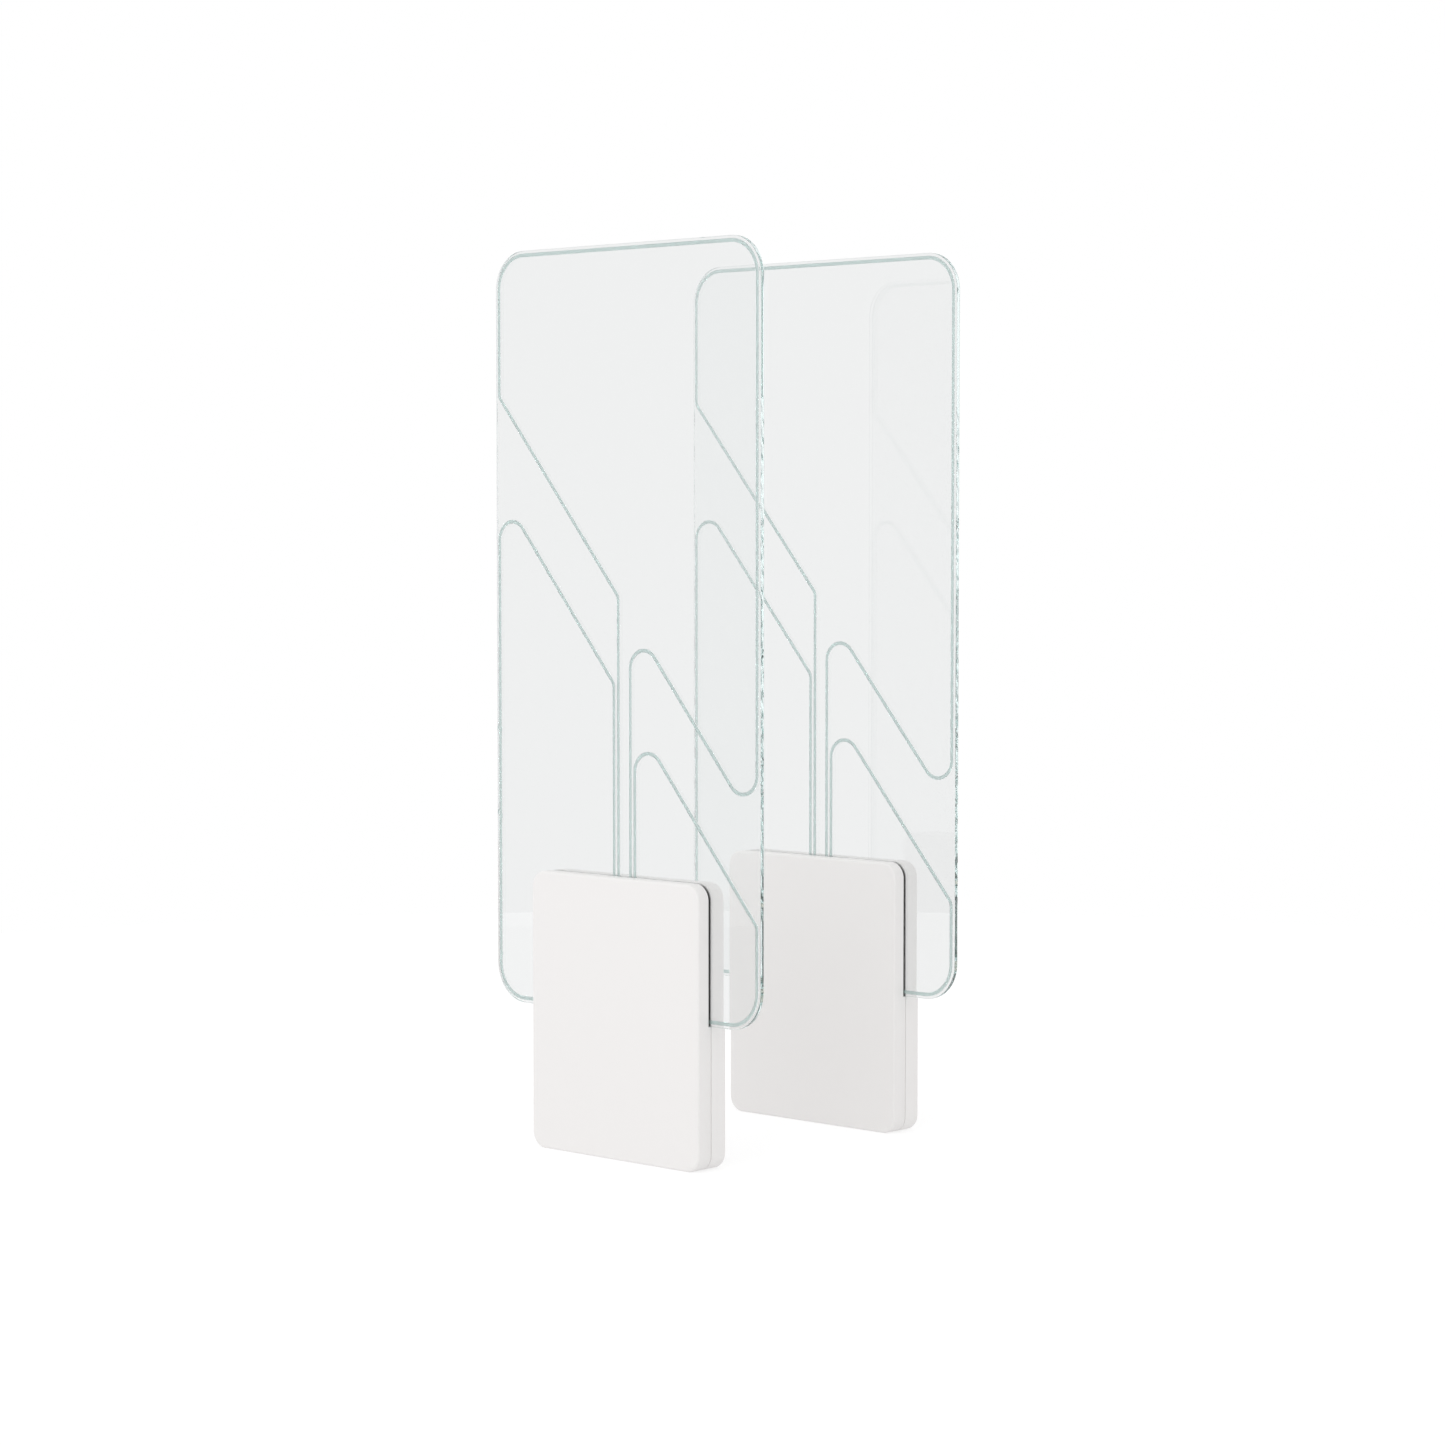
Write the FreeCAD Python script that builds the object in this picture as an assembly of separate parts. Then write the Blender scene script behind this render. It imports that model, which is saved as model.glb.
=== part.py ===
import FreeCAD, Part
import math
import os

# Security gate: two identical upright panels that face each other across a walkway.
# Every panel stands in a two-part moulded foot that hides its steel clamp and electronics.
# Millimetres. X runs along a panel's width, Y across the walkway, Z up from the floor.
# Each pedestal is drawn about its own foot centre (y = 0) and then moved to its side.

# ---- driving dimensions --------------------------------------------------------------
PITCH = 492.0              # between the centre planes of the two feet
OVERALL_HEIGHT = 1500.0

PANEL_WIDTH = 600.0
PANEL_BOTTOM = 236.0       # underside of the glass above the floor
PANEL_THICK = 8.0
PANEL_CORNER = 64.0
PANEL_EDGE = 0.8           # arris ground along both faces of the glass
PANEL_FRONT = -6.5         # front face of the glass, from the foot's centre plane
PANEL_BACK = PANEL_FRONT + PANEL_THICK

FOOT_WIDTH = 380.0
FOOT_HEIGHT = 466.0
FOOT_DEPTH = 66.0
FOOT_CORNER = 27.0
FOOT_EDGE = 4.0            # rounding around the front and rear faces
WALL = 3.0                 # moulded wall of both covers
SEAM = PANEL_FRONT + PANEL_THICK / 2
SEAM_GAP = 1.4
SLOT_GAP = 2.3             # front cover's rim stands this far off the glass
REAR_GAP = 0.3             # rear cover's rim stands this far off the glass
SLOT_FLOOR = PANEL_BOTTOM - 0.5

LIP_DEPTH = 3.5            # the rear cover's tongue that laps behind the front cover's rim
LIP_THICK = 1.0
LIP_CLEAR = 0.3

# aerial loops let into the front face of the glass
GROOVE_WIDTH = 6.0
GROOVE_DEPTH = 2.5
LOOP_WIDTH = 5.8
LOOP_THICK = 2.3
LOOP_INSET = 7.8           # loop centre line from the edge of the glass
RISER_UPPER = 13.6         # half the distance between the upper loop's two risers
RISER_LOWER = 23.7
RISERS = (-RISER_LOWER, -RISER_UPPER, RISER_UPPER, RISER_LOWER)
LOOP_SLANT = math.radians(40.0)  # slanted runs, from the vertical
BEND_RADIUS = 18.0
TURN_RADIUS = 31.0
UPPER_BEND_Z = 925.0       # where the upper loop's left riser turns into its slant
UPPER_TURN_Z = 560.5       # where its right slant would meet the right-hand upright run
LOWER_BEND_Z = 782.3
LOWER_TURN_Z = 404.7
LOOP_END_Z = 285.0         # the risers end inside the terminal block

# steel clamp
PLATE_THICK = 6.0
PLATE_WIDTH = 300.0
PLATE_DEPTH = 48.0
PLATE_CLEAR = 2.0          # between the plate and the covers around it
PLATE_CORNER = 5.0
ANCHOR_X = 250.0
ANCHOR_Y = 28.0
ANCHOR_R = 4.5
FRAME_THICK = 5.0
FRAME_WIDTH = 300.0
FRAME_TOP = 460.0
PAD_THICK = 3.0
FRAME_FRONT = PANEL_BACK + PAD_THICK
FRAME_BACK = FRAME_FRONT + FRAME_THICK
CLAMP_BACK = PANEL_FRONT - PAD_THICK
CLAMP_FRONT = CLAMP_BACK - FRAME_THICK
CLAMP_INNER_X = 40.0
CLAMP_OUTER_X = 165.0
CLAMP_LOW = 256.0
CLAMP_HIGH = 456.0
BOLT_X = 100.0
BOLT_Z = (285.0, 425.0)
BOLT_R = 4.0
BOLT_CLEAR = 0.3
BOLT_HEAD_AF = 13.0
BOLT_HEAD = 5.3
BUSH_R = 6.9
PANEL_HOLE_R = 7.0
SHELF_THICK = 5.0
SHELF_X = (80.0, 140.0)
BLOCK_HEIGHT = 8.0

# front cover's push-on studs and rear cover's screws
STUD_R = 4.0
STUD_FIT = 0.05
STUD_TIP = -27.0
SOCKET_R = 8.0
SOCKET_MOUTH = -20.0
SOCKET_END = -29.0
LOWER_STUD = (90.0, 22.0)
UPPER_STUD = (150.0, 355.0)
COVER_SCREWS = ((60.0, 20.0), (25.0, 440.0))
COVER_SCREW_R = 2.5
COVER_SCREW_CLEAR = 0.25
PILOT_DEPTH = 12.0
COVER_BOSS_R = 6.0

# electronics bay below the glass
BOARD_X = (-35.0, 140.0)
BOARD_Z = (40.0, 200.0)
BOARD_THICK = 1.6
STANDOFF = 8.0
BOARD_BACK = FRAME_FRONT - STANDOFF
BOARD_FACE = BOARD_BACK - BOARD_THICK
BOARD_HOLE_INSET = 6.0
CHIPS = (                  # each package's left and lower edge, width and height
    (64.0, 122.0, 14.0, 14.0),
    (62.0, 94.0, 10.0, 6.0),
    (40.0, 122.0, 8.0, 10.0),
    (40.0, 150.0, 12.0, 8.0),
    (-18.0, 130.0, 12.0, 16.0),
    (-18.0, 104.0, 8.0, 8.0),
)
CAPACITORS = (             # each one's centre, radius and height
    (-20.0, 60.0, 6.3, 16.0),
    (-4.0, 60.0, 6.3, 16.0),
    (12.0, 58.0, 5.0, 12.0),
)
SHIELD_X = (88.0, 132.0)
SHIELD_Z = (100.0, 160.0)
SHIELD_HEIGHT = 8.0
TRIMMERS = {"upper": (95.0, 66.0), "lower": (122.0, 66.0)}
TRIMMER_SIDE = 12.0
TRIMMER_HEIGHT = 6.0
ROTOR_R = 3.8
VOLUME_AT = (55.0, 66.0)
VOLUME_BODY = 6.0          # the level control's height, and half its side
VOLUME_SHAFT_R = 2.5
SOUNDER_AT = (14.0, 96.0)
SUPPLY_X = (-140.0, -50.0)
SUPPLY_Z = (44.0, 176.0)
SUPPLY_DEPTH = 27.0
SUPPLY_FRONT = FRAME_FRONT - SUPPLY_DEPTH
SUPPLY_TERMINAL_X = BOARD_X[0] + 10.0
ROCKER_AT = (-95.0, 150.0)
ROCKER_TILT = 8.0          # degrees from level to either stop
SWITCH_SIZE = (22.0, 30.0)
SWITCH_DEPTH = 16.0
TAMPER_X = (62.0, 82.0)
TAMPER_Z = (202.0, 212.0)
TAMPER_FACE = -20.0
TAMPER_POST_R = 3.0
TAMPER_POST_GAP = 0.3      # between the front cover's post and the plunger at rest
PLUNGER_R = 1.5
PLUNGER_REACH = 4.0
TERMINAL_Z = (262.0, 292.0)
TERMINAL_DEPTH = 12.0
LEAD_PLANE = PANEL_FRONT - 6.0
LEAD_ENDS = (-18.0, -6.0, 6.0, 18.0)  # the leads' places along the board's terminal strip
LEAD_R = 1.2
LEAD_CLEAR = 0.4
GROMMET_Y = -9.0
GROMMET_BORE_R = 6.5
GROMMET_WALL = 3.5


# ---- plain shapes --------------------------------------------------------------------
def block(x0, x1, y0, y1, z0, z1):
    """A rectangular block between two corners."""
    corner = FreeCAD.Vector(x0, y0, z0)
    return Part.makeBox(x1 - x0, y1 - y0, z1 - z0, corner)


def rod(radius, x, z, y0, y1):
    """A round bar along Y from y0 to y1."""
    return Part.makeCylinder(radius, y1 - y0, FreeCAD.Vector(x, y0, z), FreeCAD.Vector(0, 1, 0))


def post(radius, x, y, z0, z1):
    """A round bar along Z from z0 to z1."""
    return Part.makeCylinder(radius, z1 - z0, FreeCAD.Vector(x, y, z0), FreeCAD.Vector(0, 0, 1))


def hexagon(across_flats, x, z, y0, y1):
    """A hexagonal bar along Y, as a bolt head or a nut."""
    radius = across_flats / math.sqrt(3.0)
    corners = []
    for k in range(7):
        angle = math.radians(60.0 * k)
        corners.append(FreeCAD.Vector(x + radius * math.cos(angle), y0, z + radius * math.sin(angle)))
    return Part.Face(Part.makePolygon(corners)).extrude(FreeCAD.Vector(0, y1 - y0, 0))


def along(shape, axis):
    """The edges of a shape that run along one axis."""
    chosen = []
    for edge in shape.Edges:
        if isinstance(edge.Curve, Part.Line) and abs(edge.tangentAt(edge.FirstParameter).dot(axis)) > 0.999:
            chosen.append(edge)
    return chosen


def at_y(shape, y):
    """The edges of a shape that lie wholly in one plane across Y."""
    return [e for e in shape.Edges if abs(e.BoundBox.YMin - y) < 1e-4 and abs(e.BoundBox.YMax - y) < 1e-4]


def rounded_slab(width, z0, z1, corner, y0, y1):
    """A slab centred on x = 0 whose four upright corners are rounded."""
    slab = block(-width / 2, width / 2, y0, y1, z0, z1)
    return slab.makeFillet(corner, along(slab, FreeCAD.Vector(0, 1, 0)))


def softened(block_shape, radius, axis):
    """A moulded block whose edges along one axis are rounded."""
    return block_shape.makeFillet(radius, along(block_shape, axis))


def both_sides(make):
    """One call of a maker for each of x = -1 and x = +1."""
    return [make(-1), make(1)]


# ---- the aerial loops' centre lines ----------------------------------------------------
def rounded_path(points, radii, y):
    """A wire through (x, z) points whose inner corners are arcs of the given radii."""
    edges = []
    start = FreeCAD.Vector(points[0][0], y, points[0][1])
    for (x, z), before, after, radius in zip(points[1:-1], points, points[2:], radii):
        corner = FreeCAD.Vector(x, y, z)
        back = (FreeCAD.Vector(before[0], y, before[1]) - corner).normalize()
        on = (FreeCAD.Vector(after[0], y, after[1]) - corner).normalize()
        half = back.getAngle(on) / 2
        reach = radius / math.tan(half)
        middle = (back + on).normalize() * (radius / math.sin(half) - radius)
        first = corner + back * reach
        last = corner + on * reach
        edges.append(Part.LineSegment(start, first).toShape())
        edges.append(Part.Arc(first, corner + middle, last).toShape())
        start = last
    end = FreeCAD.Vector(points[-1][0], y, points[-1][1])
    edges.append(Part.LineSegment(start, end).toShape())
    return Part.Wire(edges)


def loop_points(upper):
    """The corner points and radii of one loop's centre line."""
    riser = RISER_UPPER if upper else RISER_LOWER
    bend_z = UPPER_BEND_Z if upper else LOWER_BEND_Z
    turn_z = UPPER_TURN_Z if upper else LOWER_TURN_Z
    side = PANEL_WIDTH / 2 - LOOP_INSET
    rise = (side - riser) / math.tan(LOOP_SLANT)
    corner = PANEL_CORNER - LOOP_INSET
    far_z = OVERALL_HEIGHT - LOOP_INSET if upper else PANEL_BOTTOM + LOOP_INSET
    points = [(-riser, LOOP_END_Z), (-riser, bend_z), (-side, bend_z + rise), (-side, far_z),
              (side, far_z), (side, turn_z), (riser, turn_z + rise), (riser, LOOP_END_Z)]
    if upper:
        radii = [BEND_RADIUS, BEND_RADIUS, corner, corner, TURN_RADIUS, TURN_RADIUS]
    else:
        radii = [BEND_RADIUS, TURN_RADIUS, corner, corner, BEND_RADIUS, TURN_RADIUS]
    return points, radii


def loop_band(upper, width, y0, y1):
    """A flat band of the given width that follows one loop's centre line."""
    points, radii = loop_points(upper)
    path = rounded_path(points, radii, y0)
    face = path.makeOffset2D(width / 2, 2, False, False)
    return Part.Face(face).extrude(FreeCAD.Vector(0, y1 - y0, 0))


# ---- glass and aerials ---------------------------------------------------------------
def panel():
    """The clear panel: rounded corners, ground arrises, loop grooves and bolt holes."""
    glass = rounded_slab(PANEL_WIDTH, PANEL_BOTTOM, OVERALL_HEIGHT, PANEL_CORNER, PANEL_FRONT, PANEL_BACK)
    glass = glass.makeChamfer(PANEL_EDGE, at_y(glass, PANEL_FRONT) + at_y(glass, PANEL_BACK))
    for upper in (True, False):
        glass = glass.cut(loop_band(upper, GROOVE_WIDTH, PANEL_FRONT, PANEL_FRONT + GROOVE_DEPTH))
    for x in (-BOLT_X, BOLT_X):
        for z in BOLT_Z:
            glass = glass.cut(rod(PANEL_HOLE_R, x, z, PANEL_FRONT, PANEL_BACK))
    return glass


def aerial_loop(upper):
    """One aerial loop: a flat jacketed conductor lying on its groove's floor."""
    floor = PANEL_FRONT + GROOVE_DEPTH
    return loop_band(upper, LOOP_WIDTH, floor - LOOP_THICK, floor)


# ---- covers --------------------------------------------------------------------------
def foot_body(offset, y0, y1, rounded_face):
    """The foot's outline drawn in by an offset, between two planes, one face's rim rounded."""
    corner = FOOT_CORNER - offset
    body = rounded_slab(FOOT_WIDTH - 2 * offset, offset, FOOT_HEIGHT - offset, corner, y0, y1)
    return body.makeFillet(FOOT_EDGE - offset, at_y(body, rounded_face))


def foot_ring(outer, inner, y0, y1):
    """A ring that follows the foot's outline between two offsets."""
    solid = rounded_slab(FOOT_WIDTH - 2 * outer, outer, FOOT_HEIGHT - outer, FOOT_CORNER - outer, y0, y1)
    hole = rounded_slab(FOOT_WIDTH - 2 * inner, inner, FOOT_HEIGHT - inner, FOOT_CORNER - inner, y0, y1)
    return solid.cut(hole)


def above_slot(y0, y1):
    """The room above the slot's floor, between two planes."""
    return block(-FOOT_WIDTH, FOOT_WIDTH, y0, y1, SLOT_FLOOR, FOOT_HEIGHT + WALL)


def floor_opening():
    """The opening in both covers' undersides that the floor plate fills."""
    half_width = PLATE_WIDTH / 2 + PLATE_CLEAR
    half_depth = PLATE_DEPTH / 2 + PLATE_CLEAR
    return block(-half_width, half_width, -half_depth, half_depth, -WALL, PLATE_THICK + PLATE_CLEAR)


def cover_studs_at():
    """Where the front cover's four studs stand."""
    return [(side * x, z) for x, z in (LOWER_STUD, UPPER_STUD) for side in (-1, 1)]


def front_cover():
    """The front half of the foot, with stud sockets and the post that works the tamper switch."""
    face = -FOOT_DEPTH / 2
    rim = SEAM - SEAM_GAP / 2
    shell = foot_body(0.0, face, rim, face).cut(foot_body(WALL, face + WALL, rim, face + WALL))
    shell = shell.cut(above_slot(PANEL_FRONT - SLOT_GAP, rim))
    rebate = foot_ring(WALL - LIP_THICK - LIP_CLEAR, WALL, rim - LIP_DEPTH - LIP_CLEAR, rim)
    shell = shell.cut(rebate.cut(above_slot(rim - LIP_DEPTH - LIP_CLEAR, rim)))
    shell = shell.cut(floor_opening())
    for x, z in cover_studs_at():
        socket = rod(SOCKET_R, x, z, face + WALL / 2, SOCKET_MOUTH)
        shell = shell.fuse(socket)
        shell = shell.cut(rod(STUD_R + STUD_FIT, x, z, SOCKET_END, SOCKET_MOUTH))
    x, z = tamper_at()
    tamper_post = rod(TAMPER_POST_R, x, z, face + WALL / 2, TAMPER_FACE - PLUNGER_REACH - TAMPER_POST_GAP)
    return shell.fuse(tamper_post).removeSplitter()


def rear_cover():
    """The rear half of the foot, with its tongue and four screw bosses."""
    face = FOOT_DEPTH / 2
    rim = SEAM + SEAM_GAP / 2
    shell = foot_body(0.0, rim, face, face).cut(foot_body(WALL, rim, face - WALL, face - WALL))
    shell = shell.cut(above_slot(rim, PANEL_BACK + REAR_GAP))
    root = 2.0  # how far the tongue is rooted in the wall
    tongue = foot_ring(WALL - LIP_THICK, WALL, rim - LIP_DEPTH, rim + root)
    tongue = tongue.cut(above_slot(rim - LIP_DEPTH, rim + root))
    shell = shell.fuse(tongue).cut(floor_opening())
    for x, z in rear_screws_at():
        shell = shell.fuse(rod(COVER_BOSS_R, x, z, FRAME_BACK, face - WALL / 2))
        shell = shell.cut(rod(COVER_SCREW_R + STUD_FIT, x, z, FRAME_BACK, FRAME_BACK + PILOT_DEPTH))
    return shell.removeSplitter()


def cover_gasket():
    """The dark strip that fills the front cover's slot beside and above the glass."""
    recess = 0.8
    front = PANEL_FRONT - SLOT_GAP
    back = PANEL_FRONT - REAR_GAP
    return foot_ring(recess, WALL, front, back).common(above_slot(front, back))


# ---- steel clamp ---------------------------------------------------------------------
def floor_plate():
    """The plate that is bolted to the floor, with the cable's entry."""
    plate = block(-PLATE_WIDTH / 2, PLATE_WIDTH / 2, -PLATE_DEPTH / 2, PLATE_DEPTH / 2, 0.0, PLATE_THICK)
    plate = softened(plate, PLATE_CORNER, FreeCAD.Vector(0, 0, 1))
    for x in (-ANCHOR_X / 2, ANCHOR_X / 2):
        for y in (-ANCHOR_Y / 2, ANCHOR_Y / 2):
            plate = plate.cut(post(ANCHOR_R, x, y, 0.0, PLATE_THICK))
    return plate.cut(post(GROMMET_BORE_R + GROMMET_WALL, 0.0, GROMMET_Y, 0.0, PLATE_THICK))


def upright_frame():
    """The folded steel upright behind the glass, with two shelf tabs that carry it."""
    half = FRAME_WIDTH / 2
    frame = block(-half, half, FRAME_FRONT, FRAME_BACK, PLATE_THICK, FRAME_TOP)
    flange_back = PLATE_DEPTH / 2
    notch_x = (108.0, half - FRAME_THICK)  # the notches leave room for the anchors' nuts
    notch_top = 28.0
    for side in (-1, 1):
        outer = sorted((side * half, side * (half - FRAME_THICK)))
        frame = frame.fuse(block(outer[0], outer[1], FRAME_FRONT, flange_back, PLATE_THICK, FRAME_TOP))
        shelf = sorted((side * SHELF_X[0], side * SHELF_X[1]))
        shelf_top = PANEL_BOTTOM - BLOCK_HEIGHT
        frame = frame.fuse(block(shelf[0], shelf[1], PANEL_FRONT, FRAME_FRONT,
                                 shelf_top - SHELF_THICK, shelf_top))
        notch = sorted((side * notch_x[0], side * notch_x[1]))
        frame = frame.cut(block(notch[0], notch[1], FRAME_FRONT, FRAME_BACK, PLATE_THICK, notch_top))
    for x in (-BOLT_X, BOLT_X):
        for z in BOLT_Z:
            frame = frame.cut(rod(BOLT_R + BOLT_CLEAR, x, z, FRAME_FRONT, FRAME_BACK))
    for x, z in rear_screws_at():
        frame = frame.cut(rod(COVER_SCREW_R + COVER_SCREW_CLEAR, x, z, FRAME_FRONT, FRAME_BACK))
    return frame.removeSplitter()


def clamp_plates():
    """The two steel plates in front of the glass, left and right of the aerials' risers."""
    corner = 8.0

    def plate(side):
        x = sorted((side * CLAMP_INNER_X, side * CLAMP_OUTER_X))
        shape = block(x[0], x[1], CLAMP_FRONT, CLAMP_BACK, CLAMP_LOW, CLAMP_HIGH)
        shape = softened(shape, corner, FreeCAD.Vector(0, 1, 0))
        for z in BOLT_Z:
            shape = shape.cut(rod(BOLT_R + BOLT_CLEAR, side * BOLT_X, z, CLAMP_FRONT, CLAMP_BACK))
        return shape
    return both_sides(plate)


def pads(y0, y1):
    """The two rubber pads on one side of the glass."""
    inset = 2.0  # within the steel all round

    def pad(side):
        x = sorted((side * (CLAMP_INNER_X + inset), side * (FRAME_WIDTH / 2 - inset)))
        shape = block(x[0], x[1], y0, y1, CLAMP_LOW + inset, CLAMP_HIGH - inset)
        for z in BOLT_Z:
            shape = shape.cut(rod(PANEL_HOLE_R, side * BOLT_X, z, y0, y1))
        return shape
    return both_sides(pad)


def glass_bushes():
    """The nylon bushes that keep the bolts off the glass."""
    bore = BOLT_R + 0.1
    bushes = []
    for x in (-BOLT_X, BOLT_X):
        for z in BOLT_Z:
            outer = rod(BUSH_R, x, z, PANEL_FRONT, PANEL_BACK)
            bushes.append(outer.cut(rod(bore, x, z, PANEL_FRONT, PANEL_BACK)))
    return bushes


def clamp_bolts():
    """The hexagon bolts through the clamp."""
    tip = FRAME_BACK + 9.0
    bolts = []
    for x in (-BOLT_X, BOLT_X):
        for z in BOLT_Z:
            head = hexagon(BOLT_HEAD_AF, x, z, CLAMP_FRONT - BOLT_HEAD, CLAMP_FRONT)
            bolts.append(head.fuse(rod(BOLT_R, x, z, CLAMP_FRONT, tip)).removeSplitter())
    return bolts


def clamp_nuts():
    """The flange nuts behind the upright."""
    back = FRAME_BACK + 7.0
    flange_r = 9.0
    flange_back = FRAME_BACK + 1.5
    bore = BOLT_R + 0.02
    nuts = []
    for x in (-BOLT_X, BOLT_X):
        for z in BOLT_Z:
            nut = hexagon(BOLT_HEAD_AF, x, z, FRAME_BACK, back)
            nut = nut.fuse(rod(flange_r, x, z, FRAME_BACK, flange_back))
            nuts.append(nut.cut(rod(bore, x, z, FRAME_BACK, back)).removeSplitter())
    return nuts


def setting_blocks():
    """The rubber blocks between the shelf tabs and the glass's lower edge."""
    inset = 3.0

    def setting_block(side):
        x = sorted((side * (SHELF_X[0] + inset), side * (SHELF_X[1] - inset)))
        return block(x[0], x[1], PANEL_FRONT, PANEL_BACK, PANEL_BOTTOM - BLOCK_HEIGHT, PANEL_BOTTOM)
    return both_sides(setting_block)


def cover_studs():
    """The four studs that the front cover pushes onto, each with a rounded nose."""
    nose = 1.2
    studs = []
    for x, z in cover_studs_at():
        root = FRAME_FRONT if z < PANEL_BOTTOM else CLAMP_FRONT
        stud = rod(STUD_R, x, z, STUD_TIP, root)
        studs.append(stud.makeFillet(nose, at_y(stud, STUD_TIP)))
    return studs


def rear_screws_at():
    """Where the rear cover's four screws go."""
    return [(side * x, z) for x, z in COVER_SCREWS for side in (-1, 1)]


def rear_cover_screws():
    """The low-head screws through the upright into the rear cover's bosses."""
    top = FRAME_FRONT - 2.6
    head_r = 4.6
    head_edge = 0.8
    key_af = 3.0
    key_floor = FRAME_FRONT - 1.0
    tip = FRAME_BACK + PILOT_DEPTH - 1.0
    screws = []
    for x, z in rear_screws_at():
        head = rod(head_r, x, z, top, FRAME_FRONT)
        head = head.makeFillet(head_edge, at_y(head, top))
        head = head.cut(hexagon(key_af, x, z, top, key_floor))
        screws.append(head.fuse(rod(COVER_SCREW_R, x, z, FRAME_FRONT, tip)))
    return screws


# ---- electronics ---------------------------------------------------------------------
def board_holes_at():
    """Where the circuit board's four screws go."""
    return [(x, z)
            for x in (BOARD_X[0] + BOARD_HOLE_INSET, BOARD_X[1] - BOARD_HOLE_INSET)
            for z in (BOARD_Z[0] + BOARD_HOLE_INSET, BOARD_Z[1] - BOARD_HOLE_INSET)]


def circuit_board():
    """The board that drives and tunes the loops."""
    board = block(BOARD_X[0], BOARD_X[1], BOARD_FACE, BOARD_BACK, BOARD_Z[0], BOARD_Z[1])
    corner = 3.0
    hole_r = 1.7
    board = softened(board, corner, FreeCAD.Vector(0, 1, 0))
    for x, z in board_holes_at():
        board = board.cut(rod(hole_r, x, z, BOARD_FACE, BOARD_BACK))
    return board


def board_standoffs():
    """The hexagon pillars that hold the board off the upright."""
    across_flats = 5.5
    bore = 1.55
    bore_end = FRAME_FRONT - 1.0
    pillars = []
    for x, z in board_holes_at():
        pillar = hexagon(across_flats, x, z, BOARD_BACK, FRAME_FRONT)
        pillars.append(pillar.cut(rod(bore, x, z, BOARD_BACK, bore_end)))
    return pillars


def board_screws():
    """The pan-head screws that hold the board."""
    top = BOARD_FACE - 2.0
    head_r = 2.8
    head_edge = 0.7
    arm = 2.0          # half the length of the cross recess
    half = 0.3         # half its width
    recess = top + 0.8
    shank_r = 1.5
    tip = BOARD_BACK + 5.0
    screws = []
    for x, z in board_holes_at():
        head = rod(head_r, x, z, top, BOARD_FACE)
        head = head.makeFillet(head_edge, at_y(head, top))
        cross = block(x - arm, x + arm, top, recess, z - half, z + half)
        cross = cross.fuse(block(x - half, x + half, top, recess, z - arm, z + arm))
        screws.append(head.cut(cross).fuse(rod(shank_r, x, z, BOARD_FACE, tip)))
    return screws


def board_chips():
    """The moulded packages on the board: processor, converters and drivers."""
    thick = 1.6
    corner = 0.5
    chips = []
    for x, z, width, height in CHIPS:
        chip = block(x, x + width, BOARD_FACE - thick, BOARD_FACE, z, z + height)
        chips.append(softened(chip, corner, FreeCAD.Vector(0, 1, 0)))
    return chips


def board_capacitors():
    """The upright electrolytic capacitors on the board."""
    edge = 0.8
    cans = []
    for x, z, radius, height in CAPACITORS:
        can = rod(radius, x, z, BOARD_FACE - height, BOARD_FACE)
        cans.append(can.makeFillet(edge, at_y(can, BOARD_FACE - height)))
    return cans


def shield_can():
    """The pressed screening can over the receiver, open towards the board."""
    sheet = 0.5
    corner = 1.5
    top = BOARD_FACE - SHIELD_HEIGHT
    can = block(SHIELD_X[0], SHIELD_X[1], top, BOARD_FACE, SHIELD_Z[0], SHIELD_Z[1])
    can = softened(can, corner, FreeCAD.Vector(0, 1, 0))
    hollow = block(SHIELD_X[0] + sheet, SHIELD_X[1] - sheet, top + sheet, BOARD_FACE,
                   SHIELD_Z[0] + sheet, SHIELD_Z[1] - sheet)
    return can.cut(softened(hollow, corner - sheet, FreeCAD.Vector(0, 1, 0)))


def wire_terminals():
    """The screw terminal strip along the board's upper edge, one way for each aerial lead."""
    half = 24.0
    top = BOARD_FACE - 11.0
    low = 184.0
    high = 198.0
    middle = 190.0     # the height of the clamping screws' wells
    well_r = 2.6
    well_floor = top + 1.5
    edge = 0.8
    strip = block(-half, half, top, BOARD_FACE, low, high)
    strip = softened(strip, edge, FreeCAD.Vector(1, 0, 0))
    for x in LEAD_ENDS:
        strip = strip.cut(post(LEAD_R + LEAD_CLEAR, x, LEAD_PLANE, middle, high))
        strip = strip.cut(rod(well_r, x, middle, top, well_floor))
    return strip


def loop_terminal():
    """The moulded block on the glass that joins the four loop ends to their leads."""
    half = 34.0
    corner = 3.0
    entry = 8.0        # how far the leads' holes go in
    low, high = TERMINAL_Z
    terminal = block(-half, half, PANEL_FRONT - TERMINAL_DEPTH, PANEL_FRONT, low, high)
    terminal = softened(terminal, corner, FreeCAD.Vector(0, 1, 0))
    for x in RISERS:
        terminal = terminal.cut(post(LEAD_R + LEAD_CLEAR, x, LEAD_PLANE, low, low + entry))
    return terminal


def aerial_leads():
    """The four flexible leads from the loops' terminal block to the board."""
    top = TERMINAL_Z[0] + 6.0
    upper_bend = 246.0
    lower_bend = 216.0
    end = 192.0
    bend_r = 24.0
    leads = []
    for x0, x1 in zip(RISERS, LEAD_ENDS):
        points = [(x0, top), (x0, upper_bend), (x1, lower_bend), (x1, end)]
        path = rounded_path(points, [bend_r, bend_r], LEAD_PLANE)
        ring = Part.makeCircle(LEAD_R, FreeCAD.Vector(x0, LEAD_PLANE, top), FreeCAD.Vector(0, 0, 1))
        leads.append(path.makePipeShell([Part.Wire(ring)], True, False))
    return leads


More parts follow.
